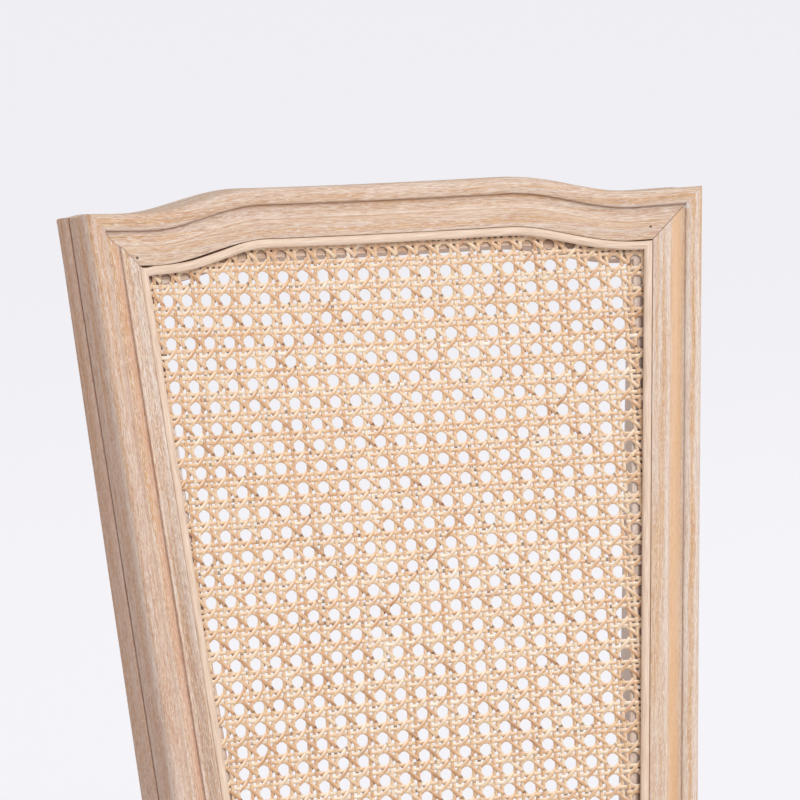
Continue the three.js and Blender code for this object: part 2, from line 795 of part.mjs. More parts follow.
// The cane sheet: a bent net that swells forward between the rails
function canePanel() {
  const { corners, faces } = canePattern();
  const swelled = ({ s, v }) => {
    const across = 1 - Math.min(1, (s / (edgeAt(v) - ledgeWidth)) ** 2);
    const up = 1 - Math.min(1, ((2 * v - openingHeight) / (openingHeight - 2 * ledgeWidth)) ** 2);
    return fitGap + caneBulge * (across * up) ** 2;
  };
  const layers = [caneThickness, 0].flatMap((depth) => (
    corners.map((corner) => onBack(corner.s, corner.v, swelled(corner) + depth))));
  const count = corners.length;
  const edges = new Set(faces.flatMap(([a, b, c]) => [`${a} ${b}`, `${b} ${c}`, `${c} ${a}`]));
  const walls = [...edges].map((edge) => edge.split(' ').map(Number))
    .filter(([a, b]) => !edges.has(`${b} ${a}`))
    .flatMap(([a, b]) => [[b, a, a + count], [b, a + count, b + count]]);
  const rear = faces.map(([a, b, c]) => [a + count, c + count, b + count]);
  return closedBody(layers, [...faces, ...rear, ...walls]);
}

// Outer face of a side rail, at a depth from the front
function sideRailX(y) {
  const front = frontLegX + frontLegSize / 2 - railSetback;
  const rear = rearLegX + rearLegWidth / 2 - railSetback;
  const share = (y - frontLegSize) / (rearLegFront - frontLegSize);
  return THREE.MathUtils.lerp(front, rear, share);
}

// Outer face of the front rail, at a distance from the middle
function frontRailY(x) {
  const half = frontLegX - frontLegSize / 2;
  return railSetback - frontBow * (1 - (x / half) ** 2);
}

// Section of a seat rail: u runs from its inner face outwards, z up from its foot, with a bead below
function railSection(thickness) {
  return [
    { u: 0, z: 0 },
    { u: thickness - railQuirk, z: 0 },
    ...railBeadShares.map(([out, up]) => ({ u: thickness + railBeadProud * out, z: railBeadHeight * up })),
    { u: thickness - railQuirk, z: railBeadHeight },
    { u: thickness, z: railBeadHeight + railQuirk },
    { u: thickness, z: railHeight - railQuirk },
    { u: thickness - railQuirk, z: railHeight },
    { u: 0, z: railHeight },
  ];
}

function railOutline(thickness) {
  return railSection(thickness).map(({ u, z }) => new THREE.Vector2(u, z));
}

// A tenon, or with a gap its mortise: a box from inside the rail into the leg
function tenon({ root, direction }, gap) {
  const length = tenonLength + cutOverrun + gap;
  const geometry = new THREE.BoxGeometry(tenonThickness + 2 * gap, length, tenonHeight + 2 * gap);
  geometry.translate(0, length / 2 - cutOverrun, 0);
  geometry.rotateZ(Math.atan2(direction.y, direction.x) - Math.PI / 2);
  geometry.translate(root.x, root.y, root.z);
  return geometry;
}

// Where a side rail's tenon starts, at the front or the rear end, and which way it points
function sideTenonLine(side, end) {
  const y = end > 0 ? rearLegFront : frontLegSize;
  const x = sideRailX(y) - railThickness / 2 * sideRailStretch;
  return {
    root: new THREE.Vector3(side * x, y, tenonZ),
    direction: new THREE.Vector3(end * side * sideRailSlope, end, 0).normalize(),
  };
}

function frontTenonLine(side) {
  return {
    root: new THREE.Vector3(
      side * (frontLegX - frontLegSize / 2),
      railSetback + railThickness / 2,
      tenonZ,
    ),
    direction: new THREE.Vector3(side, 0, 0),
  };
}

function rearTenonLine(side) {
  return {
    root: new THREE.Vector3(
      side * (rearLegX - rearLegWidth / 2),
      seatDepth - railSetback - rearRailThickness / 2,
      tenonZ,
    ),
    direction: new THREE.Vector3(side, 0, 0),
  };
}

// The front seat rail, bowed forward
function frontSeatRail() {
  const half = frontLegX - frontLegSize / 2 - fitGap;
  const section = railSection(railThickness);
  const rings = [];
  for (let step = -railSteps / 2; step <= railSteps / 2; step += 1) {
    const x = half * step / (railSteps / 2);
    const innerFace = frontRailY(x) + railThickness;
    rings.push(section.map(({ u, z }) => new THREE.Vector3(x, innerFace - u, railFoot + z)));
  }
  return shaped(
    loft(rings, railOutline(railThickness)),
    [-1, 1].map((side) => tenon(frontTenonLine(side), 0)),
    [-1, 1].map((side) => screwHole(frontBlockScrew(side))),
  );
}

function rearSeatRail() {
  const half = rearLegX - rearLegWidth / 2 - fitGap;
  const section = railSection(rearRailThickness);
  const innerFace = seatDepth - railSetback - rearRailThickness;
  const rings = [-half, half].map((x) => section.map(({ u, z }) => (
    new THREE.Vector3(x, innerFace + u, railFoot + z))));
  return shaped(
    loft(rings, railOutline(rearRailThickness)),
    [-1, 1].map((side) => tenon(rearTenonLine(side), 0)),
    [-1, 1].map((side) => screwHole(rearBlockScrew(side))),
  );
}

function sideSeatRail(side) {
  const section = railSection(railThickness);
  const ends = [frontLegSize + fitGap, rearLegFront - fitGap];
  const rings = ends.map((y) => section.map(({ u, z }) => new THREE.Vector3(
    side * (sideRailX(y) - (railThickness - u) * sideRailStretch),
    y,
    railFoot + z,
  )));
  return shaped(
    loft(rings, railOutline(railThickness)),
    [-1, 1].map((end) => tenon(sideTenonLine(side, end), 0)),
    [-1, 1].map((end) => screwHole(sideBlockScrew(side, end))),
  );
}

// A front leg: square joint block over a turned, tapered and fluted shaft
function frontLeg(side) {
  const foot = glideHeight + fitGap;
  const length = legBlockBottom - foot;
  const count = fluteCount * fluteSides;
  const [fluteFoot, fluteTop] = fluteRangeShares;
  const rings = turnedShares.map(([rise, swell]) => {
    const cut = rise > fluteFoot && rise < fluteTop ? fluteDepth : 0;
    const overrun = rise === 1 ? cutOverrun : 0;
    const z = foot + rise * length + overrun;
    return Array.from({ length: count }, (_, i) => {
      const angle = i / count * Math.PI * 2;
      const radius = turnedRadius * swell - (i % fluteSides === 0 ? cut : 0);
      return new THREE.Vector3(radius * Math.cos(angle), radius * Math.sin(angle), z);
    });
  });
  const shaft = loft(rings, rings[0].map(({ x, y }) => new THREE.Vector2(x, y)));
  const x = side * frontLegX;
  const y = frontLegSize / 2;
  shaft.translate(x, y, 0);
  return shaped(legBlock(x, y), [shaft], [
    tenon(frontTenonLine(side), holeGap),
    tenon(sideTenonLine(side, -1), holeGap),
    pinHole(x, y),
  ]);
}

// The square block at the top of a front leg, with chamfered corners
function legBlock(x, y) {
  const half = frontLegSize / 2;
  const edge = half - blockChamfer;
  const shape = new THREE.Shape([
    new THREE.Vector2(edge, -half), new THREE.Vector2(half, -edge),
    new THREE.Vector2(half, edge), new THREE.Vector2(edge, half),
    new THREE.Vector2(-edge, half), new THREE.Vector2(-half, edge),
    new THREE.Vector2(-half, -edge), new THREE.Vector2(-edge, -half),
  ]);
  const geometry = new THREE.ExtrudeGeometry(shape, {
    depth: seatHeight - legBlockBottom,
    bevelEnabled: false,
  });
  return geometry.translate(x, y, legBlockBottom);
}

function pinHole(x, y) {
  const length = glidePinLength + cutOverrun;
  const start = new THREE.Vector3(x, y, glideHeight);
  return rod(start, new THREE.Vector3(0, 0, 1), length, glidePinDiameter / 2 + holeGap);
}

// A glide: a flat-faced dome under the foot, with a pin that is driven into the leg
function glide() {
  const face = glideFaceDiameter / 2;
  const radius = glideDiameter / 2;
  const pin = glidePinDiameter / 2;
  const profile = [
    new THREE.Vector2(0, 0),
    new THREE.Vector2(face, 0),
    ...glideShares.map(([out, up]) => new THREE.Vector2(face + (radius - face) * out, glideHeight * up)),
    new THREE.Vector2(radius, glideHeight),
    new THREE.Vector2(pin, glideHeight),
    new THREE.Vector2(pin, glideHeight + glidePinLength - pin),
    new THREE.Vector2(0, glideHeight + glidePinLength),
  ];
  return new THREE.LatheGeometry(profile, roundSides).rotateX(Math.PI / 2);
}

// Plan of a corner block: it fits round the leg and reaches along both rails
function frontBlockPlan(side) {
  const legInner = frontLegX - frontLegSize / 2 - fitGap;
  const legRear = frontLegSize + fitGap;
  const inside = (y) => sideRailX(y) - railThickness * sideRailStretch - fitGap;
  const behind = (x) => frontRailY(x) + railThickness + fitGap;
  return [
    [legInner - blockReach, behind(legInner - blockReach)],
    [legInner, behind(legInner)],
    [legInner, legRear],
    [inside(legRear), legRear],
    [inside(legRear + blockReach), legRear + blockReach],
  ].map(([x, y]) => new THREE.Vector2(side * x, y));
}

function rearBlockPlan(side) {
  const legInner = rearLegX - rearLegWidth / 2 - fitGap;
  const legFront = rearLegFront - fitGap;
  const inside = (y) => sideRailX(y) - railThickness * sideRailStretch - fitGap;
  const railInner = seatDepth - railSetback - rearRailThickness - fitGap;
  return [
    [inside(legFront - blockReach), legFront - blockReach],
    [inside(legFront), legFront],
    [legInner, legFront],
    [legInner, railInner],
    [legInner - blockReach, railInner],
  ].map(([x, y]) => new THREE.Vector2(side * x, y));
}

// Each screw line: the point where the screw leaves the block for the rail, and its direction
function frontBlockScrew(side) {
  const x = frontLegX - frontLegSize / 2 - blockReach + screwInset;
  return {
    seat: new THREE.Vector3(side * x, frontRailY(x) + railThickness, blockScrewZ),
    direction: new THREE.Vector3(0, -1, 0),
    grip: screwGrip,
  };
}

function rearBlockScrew(side) {
  const x = rearLegX - rearLegWidth / 2 - blockReach + screwInset;
  return {
    seat: new THREE.Vector3(side * x, seatDepth - railSetback - rearRailThickness, blockScrewZ),
    direction: new THREE.Vector3(0, 1, 0),
    grip: screwGrip,
  };
}

function sideBlockScrew(side, end) {
  const reach = blockReach - screwInset;
  const y = end > 0 ? rearLegFront - reach : frontLegSize + reach;
  const x = sideRailX(y) - railThickness * sideRailStretch;
  return {
    seat: new THREE.Vector3(side * x, y, blockScrewZ),
    direction: new THREE.Vector3(side, -sideRailSlope, 0).normalize(),
    grip: screwGrip,
  };
}

// The screw that holds the seat down, up through a corner block from beside the leg's corner
function seatScrew(plan) {
  const [start, , legCorner, , end] = plan;
  const inwards = start.clone().add(end).divideScalar(2).sub(legCorner).normalize();
  const middle = legCorner.clone().addScaledVector(inwards, seatScrewInset);
  return {
    seat: new THREE.Vector3(middle.x, middle.y, seatHeight),
    direction: new THREE.Vector3(0, 0, 1),
    grip: seatScrewGrip,
  };
}

function headPlace({ seat, direction, grip }) {
  return seat.clone().addScaledVector(direction, -grip);
}

function screwHole(line) {
  const radius = screwDiameter / 2 + holeGap;
  const start = headPlace(line).addScaledVector(line.direction, -cutOverrun);
  return rod(start, line.direction, screwLength + 2 * cutOverrun, radius);
}

// The pocket that sinks a screw's head into the block
function headPocket(line) {
  const radius = screwHeadDiameter / 2 + pocketGap;
  const start = headPlace(line).addScaledVector(line.direction, fitGap);
  return rod(start, line.direction.clone().negate(), blockReach, radius);
}

function cornerBlock(plan, lines) {
  const shape = new THREE.Shape(plan);
  const geometry = new THREE.ExtrudeGeometry(shape, { depth: blockHeight, bevelEnabled: false });
  geometry.translate(0, 0, seatHeight - blockHeight);
  return shaped(geometry, [], lines.flatMap((line) => [screwHole(line), headPocket(line)]));
}

// A wood screw: domed head at its start, shank and point along +Z
function woodScrew() {
  const radius = screwDiameter / 2;
  const head = screwHeadDiameter / 2;
  const profile = [
    new THREE.Vector2(0, -screwHeadHeight),
    ...screwHeadShares.map(([out, up]) => new THREE.Vector2(head * out, -screwHeadHeight * up)),
    new THREE.Vector2(head, 0),
    new THREE.Vector2(radius, 0),
    new THREE.Vector2(radius, screwLength - screwPoint),
    new THREE.Vector2(0, screwLength),
  ];
  return new THREE.LatheGeometry(profile, screwSides).rotateX(Math.PI / 2);
}

// Half outline of the seat on the +X side, from the middle of its front to the middle of its rear
function seatHalfOutline(inset) {
  const points = [];
  const frontX = frontLegX + frontLegSize / 2 - railSetback - inset;
  const rearX = rearLegX - rearLegWidth / 2 - seatNotch - inset + seatInset;
  const notchY = rearLegFront - seatNotch - inset + seatInset;
  const rearY = seatDepth - railSetback - inset;
  for (let step = 0; step < edgeSteps; step += 1) {
    const x = frontX * step / edgeSteps;
    points.push(new THREE.Vector2(x, frontRailY(x) + inset));
  }
  const firstY = frontRailY(frontX) + inset;
  for (let step = 0; step <= edgeSteps; step += 1) {
    const y = THREE.MathUtils.lerp(firstY, notchY, step / edgeSteps);
    points.push(new THREE.Vector2(sideRailX(y) - inset, y));
  }
  points.push(new THREE.Vector2(rearX, notchY));
  points.push(new THREE.Vector2(rearX, (notchY + rearY) / 2));
  points.push(new THREE.Vector2(rearX, rearY));
  const rearSteps = Math.ceil(edgeSteps / 2);
  for (let step = 1; step <= rearSteps; step += 1) {
    points.push(new THREE.Vector2(rearX * (1 - step / rearSteps), rearY));
  }
  return points;
}

// Whole outline of the seat at an inset from the rails' outer faces
function seatOutline(inset) {
  const right = seatHalfOutline(inset);
  const left = right.slice(1, -1).reverse().map(({ x, y }) => new THREE.Vector2(-x, y));
  return [...right, ...left];
}

function seatPlate(inset, thickness, foot) {
  const outline = seatOutline(inset);
  const levels = [foot, foot + thickness];
  const rings = levels.map((z) => outline.map(({ x, y }) => new THREE.Vector3(x, y, z)));
  const plans = [-1, 1].flatMap((side) => [frontBlockPlan(side), rearBlockPlan(side)]);
  return shaped(loft(rings, outline), [], plans.map((plan) => screwHole(seatScrew(plan))));
}

// The rings of the crowned seat, from its lower edge to near its middle. under is how far the
// surface lies inside the cover's outer face; the lower edge starts at foot.
function crownRings(under, foot) {
  const outline = seatOutline(seatInset);
  const middle = new THREE.Vector2(0, seatDepth / 2);
  const spread = (share, out, z) => outline.map((point) => {
    const arm = point.clone().sub(middle);
    const length = arm.length();
    arm.multiplyScalar((length * share + out - under) / length);
    return new THREE.Vector3(middle.x + arm.x, middle.y + arm.y, seatHeight + z - under);
  });
  const lowest = spread(1, coverThickness, 0).map((point) => point.setZ(foot));
  const crownRise = seatRise - seatSideRise;
  const [edgeWidth, edgeRise] = crownEdgeShares.at(-1);
  const rings = [
    lowest,
    ...seatSideShares.map(([out, up]) => spread(1, coverThickness + seatSwell * out, seatSideRise * up)),
    ...crownEdgeShares.map(([width, up]) => spread(width, 0, seatSideRise + crownRise * up)),
  ];
  for (let step = 1; step <= crownSteps; step += 1) {
    const share = step / crownSteps;
    const width = THREE.MathUtils.lerp(edgeWidth, crownTopShare, share);
    const rise = 1 - (1 - edgeRise) * (1 - share) ** 2;
    rings.push(spread(width, 0, seatSideRise + crownRise * rise));
  }
  return rings;
}

function flatPlan(ring) {
  return ring.map(({ x, y }) => new THREE.Vector2(x, y));
}

// The foam: a crowned pad on the board, inside the cover
function seatFoam() {
  const rings = crownRings(coverThickness + fitGap, boardTop + fitGap);
  return loft(rings, flatPlan(rings[0]), flatPlan(rings.at(-1)));
}

// The cover: a fabric shell over foam and board, open underneath
function seatCover() {
  const outer = crownRings(0, boardFoot);
  const inner = crownRings(coverThickness, boardFoot);
  const rings = [...outer.reverse(), ...inner];
  return loft(rings, flatPlan(rings[0]), flatPlan(rings.at(-1)));
}

// The welt: a corded edge that lies on the rails round the foot of the cover
function seatWelt() {
  const outline = seatOutline(seatInset);
  const middle = new THREE.Vector2(0, seatDepth / 2);
  const out = coverThickness + fitGap + weltRadius;
  const rings = outline.map((point) => {
    const arm = point.clone().sub(middle).normalize();
    return Array.from({ length: weltSides }, (_, i) => {
      const angle = (i + 0.5) / weltSides * Math.PI * 2;
      const reach = out + weltRadius * Math.cos(angle);
      return new THREE.Vector3(
        point.x + arm.x * reach,
        point.y + arm.y * reach,
        seatHeight + fitGap + weltRadius * (1 + Math.sin(angle)),
      );
    });
  });
  return loopLoft(rings);
}

// The chair, piece by piece
const chair = new THREE.Group();
const back = new THREE.Group();
const legs = new THREE.Group();
const seatFrame = new THREE.Group();
const seat = new THREE.Group();
const pieces = new THREE.Group();
pieces.add(back, legs, seatFrame, seat);
chair.add(pieces);

function place(parent, name, geometry, material, position = new THREE.Vector3(), direction = null) {
  const mesh = new THREE.Mesh(geometry, material);
  mesh.name = name;
  mesh.position.copy(position);
  if (direction) {
    mesh.quaternion.copy(turnTo(direction));
  }
  parent.add(mesh);
}

const sides = [['left', -1], ['right', 1]];

place(back, 'crest_rail', crestRail(), limedOak);
place(back, 'lower_back_rail', lowerBackRail(), limedOak);
place(back, 'cane_panel', canePanel(), wovenCane);
place(back, 'cane_reed_top', topReed(), paleReed);
place(back, 'cane_reed_bottom', bottomReed(), paleReed);
for (const [word, side] of sides) {
  place(back, `cane_reed_${word}`, sideReed(side), paleReed);
  crestDowelPlaces.forEach((reach, i) => {
    const { middle, direction } = crestDowelLine(side, reach);
    place(back, `crest_dowel_${word}_${i + 1}`, dowel(), beechWood, middle, direction);
  });
  lowerDowelPlaces.forEach((reach, i) => {
    const { middle, direction } = lowerDowelLine(side, reach);
    place(back, `lower_rail_dowel_${word}_${i + 1}`, dowel(), beechWood, middle, direction);
  });
}

for (const [word, side] of sides) {
  place(legs, `rear_leg_${word}`, rearLeg(side), limedOak);
  place(legs, `front_leg_${word}`, frontLeg(side), limedOak);
  place(legs, `rear_glide_${word}`, glide(), nylon, new THREE.Vector3(side * rearLegX, rearFootY, 0));
  const frontFoot = new THREE.Vector3(side * frontLegX, frontLegSize / 2, 0);
  place(legs, `front_glide_${word}`, glide(), nylon, frontFoot);
}

place(seatFrame, 'front_seat_rail', frontSeatRail(), limedOak);
place(seatFrame, 'rear_seat_rail', rearSeatRail(), limedOak);
for (const [word, side] of sides) {
  place(seatFrame, `side_seat_rail_${word}`, sideSeatRail(side), limedOak);
  const corners = [
    ['front', frontBlockPlan(side), [frontBlockScrew(side), sideBlockScrew(side, -1)]],
    ['rear', rearBlockPlan(side), [rearBlockScrew(side), sideBlockScrew(side, 1)]],
  ];
  for (const [end, plan, lines] of corners) {
    const hold = seatScrew(plan);
    place(seatFrame, `corner_block_${end}_${word}`, cornerBlock(plan, [...lines, hold]), beechWood);
    place(seatFrame, `seat_screw_${end}_${word}`, woodScrew(), zincSteel, headPlace(hold), hold.direction);
    lines.forEach((line, i) => {
      const name = `block_screw_${end}_${word}_${i + 1}`;
      place(seatFrame, name, woodScrew(), zincSteel, headPlace(line), line.direction);
    });
  }
}

place(seat, 'dust_cover', seatPlate(dustCoverInset, dustCoverThickness, dustCoverFoot), cambric);
place(seat, 'seat_board', seatPlate(seatInset, boardThickness, boardFoot), plywood);
place(seat, 'seat_foam', seatFoam(), foam);
place(seat, 'seat_cover', seatCover(), linen);
place(seat, 'seat_welt', seatWelt(), linen);

// The origin is on the floor, under the middle of the chair
chair.updateMatrixWorld(true);
const box = new THREE.Box3().setFromObject(chair);
const centre = box.getCenter(new THREE.Vector3());
pieces.position.set(-centre.x, -centre.y, 0);

export default chair;
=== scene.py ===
"""Finishes, woven cane and upholstery of the cane back chair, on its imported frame."""

import math

import bmesh
import bpy
import numpy as np
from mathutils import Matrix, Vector, noise


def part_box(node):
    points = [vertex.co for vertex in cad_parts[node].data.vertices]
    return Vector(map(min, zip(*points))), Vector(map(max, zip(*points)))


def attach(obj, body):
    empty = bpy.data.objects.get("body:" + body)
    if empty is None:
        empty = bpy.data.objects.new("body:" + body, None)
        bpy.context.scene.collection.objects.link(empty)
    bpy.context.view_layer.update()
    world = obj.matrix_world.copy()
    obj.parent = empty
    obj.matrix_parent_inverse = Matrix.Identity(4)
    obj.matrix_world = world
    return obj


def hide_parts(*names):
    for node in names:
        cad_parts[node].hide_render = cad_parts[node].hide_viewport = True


bl_info = {
    "name": "Cane Back Chair",
    "version": (1, 0, 0),
    "blender": (4, 5, 0),
    "location": "3D View > Sidebar > Chair",
    "description": "Dresses the packed chair: moulded oak, woven cane, reed, upholstery and stage",
    "category": "Object",
}

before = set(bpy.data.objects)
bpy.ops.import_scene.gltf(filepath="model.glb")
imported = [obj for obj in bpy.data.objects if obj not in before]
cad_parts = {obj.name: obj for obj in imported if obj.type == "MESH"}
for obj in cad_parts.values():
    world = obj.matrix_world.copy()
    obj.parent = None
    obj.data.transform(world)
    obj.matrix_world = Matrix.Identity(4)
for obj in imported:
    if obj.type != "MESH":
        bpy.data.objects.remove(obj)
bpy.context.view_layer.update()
MM = 0.001
SIDES = (("left", -1), ("right", 1))

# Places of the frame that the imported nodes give, in millimetres
REAR_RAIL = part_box("rear_seat_rail")
REAR_RAIL_Y, RAIL_FOOT, RAIL_TOP = REAR_RAIL[0].y / MM, REAR_RAIL[0].z / MM, REAR_RAIL[1].z / MM
FRONT_LEG = [Vector(corner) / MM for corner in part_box("front_leg_right")]
SEAT_BOARD = [Vector(corner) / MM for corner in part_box("seat_board")]


# ---------------------------------------------------------------- sizes and colours


def prop(name, description, default, kind=bpy.props.FloatProperty, **more):
    return kind(name=name, description=description, default=default, **more)


class ChairBackSizes(bpy.types.PropertyGroup):
    """Sizes of the bent, raked back, in millimetres"""

    rake: prop("Rake", "Lean of the back from upright", math.radians(10.35), subtype="ANGLE")
    bend: prop("Bend radius", "Radius of the back in plan", 635.0, min=200)
    crest: prop("Crest height", "Floor to the middle of the crest", 1018.0)
    under_back: prop("Gap under the back", "Seat rails to the lower back rail", 75.3)
    opening_top: prop("Opening at its top", "Width between the walls that hold the reed", 394.0)
    opening_bottom: prop("Opening at its foot", "Width between the walls that hold the reed", 316.0)
    crest_rise: prop("Crest rise", "Middle of the crest above its shoulders", 15.9)
    swell_start: prop("Swell start", "Where the crest begins to rise, from the middle", 183.0)
    swell_end: prop("Swell end", "Where the crest is level again", 91.0)
    depth_top: prop("Frame depth at the top", "Behind the ledge", 33.5)
    depth_bottom: prop("Frame depth at the foot", "Behind the ledge", 41.5)


class CaneSizes(bpy.types.PropertyGroup):
    """Sizes of the woven cane, in millimetres"""

    pitch_across: prop("Pitch across", "Gap to gap across the sheet", 15.5, min=5)
    pitch_up: prop("Pitch up", "Gap to gap up the sheet", 14.7, min=5)
    pair_across: prop("Upright pairs", "Middle to middle of a pair, as a share of the pitch", 0.31, min=0.1, max=0.4)
    pair_up: prop("Level pairs", "Middle to middle of a pair, as a share of the pitch", 0.27, min=0.1, max=0.4)
    strand: prop("Strand width", "Width of the upright and level strands", 2.65, min=0.5)
    slanted: prop("Slanted strand width", "Width of the slanted strands", 2.7, min=0.5)
    thickness: prop("Strand thickness", "Thickness of a strand", 1.0, min=0.2)
    bulge: prop("Bulge", "How far the sheet swells forward", 9.1, min=0)
    seed: prop("Seed", "Picks the small differences between strands", 7, bpy.props.IntProperty)


class SeatSizes(bpy.types.PropertyGroup):
    """Sizes of the upholstered seat, in millimetres"""

    rise: prop("Seat rise", "Rails to the top of the crown", 45.0)
    welt: prop("Welt", "Diameter of the welt", 6.0)
    thread: prop("Thread spacing", "Spacing of the linen's threads, drawn coarse enough to show", 1.1)
    pressure: prop("Pressure", "Air pressure that fills the cushion", 4.0)


class ChairColours(bpy.types.PropertyGroup):
    """Main colours, as sRGB hex numbers"""

    oak: prop("Oak", "Oak between its pores", "#D3BBA8", bpy.props.StringProperty)
    lime: prop("Lime", "White left in the pores", "#ECE4DD", bpy.props.StringProperty)
    cane: prop("Cane", "Skin of the cane", "#D9B592", bpy.props.StringProperty)
    reed: prop("Reed", "Split reed", "#E1C9B3", bpy.props.StringProperty)
    linen: prop("Linen", "Cover of the seat", "#E2D7CA", bpy.props.StringProperty)


# ---------------------------------------------------------------- shape of the back

# Moulding, from the cane outwards: widths, and heights above the ledge that the cane lies on
LEDGE, FLAT, COVE, EDGE_BEAD = 13.2, 13.0, 10.5, 12.1
FLAT_HEIGHT, SHOULDER = 6.5, 1.5
STRIP, GROOVE, GROOVE_DEPTH, SIDE_ROUND, INNER_ROUND = 16.0, 2.2, 1.4, 6.0, 5.0
FRAME_WIDTH = FLAT + COVE + EDGE_BEAD
CREST_TOP_SLOPE = math.tan(math.radians(6.5))
SWELL_FAN = 0.14
MITRE_GAP, TIGHT_MITRE, FIT_GAP = 0.25, 0.04, 0.3
REAR_LEG_WIDTH, REAR_LEG_DEPTH, REAR_FOOT_WIDTH, REAR_FOOT_DEPTH = 34.0, 40.0, 25.0, 27.0
LEG_BLOCK_RISE, REAR_SPLAY, SPLAY_POWER, GLIDE_HEIGHT = 6.0, 58.0, 1.7, 4.0
POST_START, POST_TAPER, POST_LEDGE = -FRAME_WIDTH - 2, 14.0, 0.1
LOWER_RAIL_DEPTH, LOWER_RAIL_ROUND = 22.0, 5.0
REED_WIDTH, REED_HEIGHT, REED_MITRE, CANE_THICKNESS = 6.2, 4.8, 0.06, 2.0
RAIL_BEAD, BEAD_PROUD, RAIL_QUIRK, RAIL_THICK, REAR_RAIL_THICK = 10.0, 2.0, 1.5, 25.0, 22.0
RAIL_SETBACK, FRONT_BOW = 4.0, 10.0
# Wear of the upper outer corners behind the bead: how much, from how far back, and over what run
CORNER_WEAR = ((2.6, 1, 5), (1.6, 24, 9))
# Share of the crest's half width from which its corner is worn, and the rest of it
WEAR_START, WEAR_RUN = 0.91, 0.09


def smooth(share):
    """0 up to 0, 1 from 1, and an even curve between."""
    x = np.clip(share, 0, 1)
    return x * x * (3 - 2 * x)


def hump(x, middle, width, power=2):
    """1 at its middle, falling to 0 over a width, and flatter on top for a higher power."""
    return np.exp(-(((x - middle) / width) ** power))


def stacked(x, y, z):
    """Points from three coordinates, each a number or an array."""
    return np.stack(np.broadcast_arrays(x, y, z), -1)


def along(points):
    """The distance run at each point of a line."""
    return np.concatenate([[0], np.cumsum(np.linalg.norm(np.diff(points, axis=0), axis=1))])


def turns(count):
    """Angles evenly round a circle."""
    return np.linspace(0, 2 * math.pi, count, endpoint=False)


class Back:
    """The mapping from the flat back (s across, v up, n forwards) to the chair, in millimetres."""

    def __init__(self):
        back = bpy.context.scene.chair_back
        self.sin, self.cos = math.sin(back.rake), math.cos(back.rake)
        self.bend = back.bend
        self.foot_z = RAIL_TOP + back.under_back + FRAME_WIDTH * self.cos
        top = (back.crest - self.foot_z - SHOULDER * self.sin) / self.cos
        self.height = top - back.crest_rise - FRAME_WIDTH
        self.rise, self.start, self.end = back.crest_rise, back.swell_start, back.swell_end
        self.slope = (back.opening_top - back.opening_bottom) / 2 / self.height
        self.half_foot = back.opening_bottom / 2
        self.stretch = math.hypot(1, self.slope)
        self.depths = back.depth_bottom, back.depth_top
        seat_v = (RAIL_TOP - self.foot_z) / self.cos
        leg_s = self.edge(seat_v) + FRAME_WIDTH / 2 * self.stretch
        self.leg_front = REAR_RAIL_Y + REAR_RAIL_THICK + RAIL_SETBACK - REAR_LEG_DEPTH
        turn = leg_s / self.bend
        away = (self.bend - FLAT_HEIGHT) * math.cos(turn) - self.bend
        self.foot_y = self.leg_front - seat_v * self.sin - away * self.cos
        self.leg_x = self.bend * math.sin(turn)

    def edge(self, v):
        return self.half_foot + v * self.slope

    def at(self, s, v, n):
        s, v, n = np.broadcast_arrays(*(np.asarray(x, float) for x in (s, v, n)))
        turn = s / self.bend
        reach = self.bend - n
        away = reach * np.cos(turn) - self.bend
        y = self.foot_y + v * self.sin + away * self.cos
        return stacked(reach * np.sin(turn), y, self.foot_z + v * self.cos - away * self.sin)

    def swell(self, s, t):
        return self.rise * smooth((self.start + t * SWELL_FAN - np.abs(s)) / (self.start - self.end))

    def depth(self, v):
        low, high = self.depths
        return low + (high - low) * np.clip(np.asarray(v) / self.height, 0, 1)

    def bulge(self, s, v, amount):
        across = 1 - np.minimum(1, (s / (self.edge(v) - LEDGE)) ** 2)
        up = 1 - np.minimum(1, ((2 * v - self.height) / (self.height - 2 * LEDGE)) ** 2)
        return amount * (across * up) ** 2


# Corners of the plain leg below the back, for the corners of the frame's section: shares of its width
# from the inner side and of its depth from the rear
LEG_CORNERS = np.array([
    (0.12, 0), (0, 0.12), (0, 0.7), (0, 0.86), (0.04, 0.97), (0.2, 1), (0.3, 1), (0.42, 1), (0.6, 1), (0.68, 1),
    (0.76, 1), (0.84, 1), (0.95, 0.98), (1, 0.88), (1, 0.56), (1, 0.52), (1, 0.48), (1, 0.14), (0.96, 0.04), (0.86, 0),
])


def arc(centre, radius, start, end, count):
    angles = np.radians(np.linspace(start, end, count))
    return [(centre[0] + radius * math.cos(a), centre[1] + radius * math.sin(a)) for a in angles]


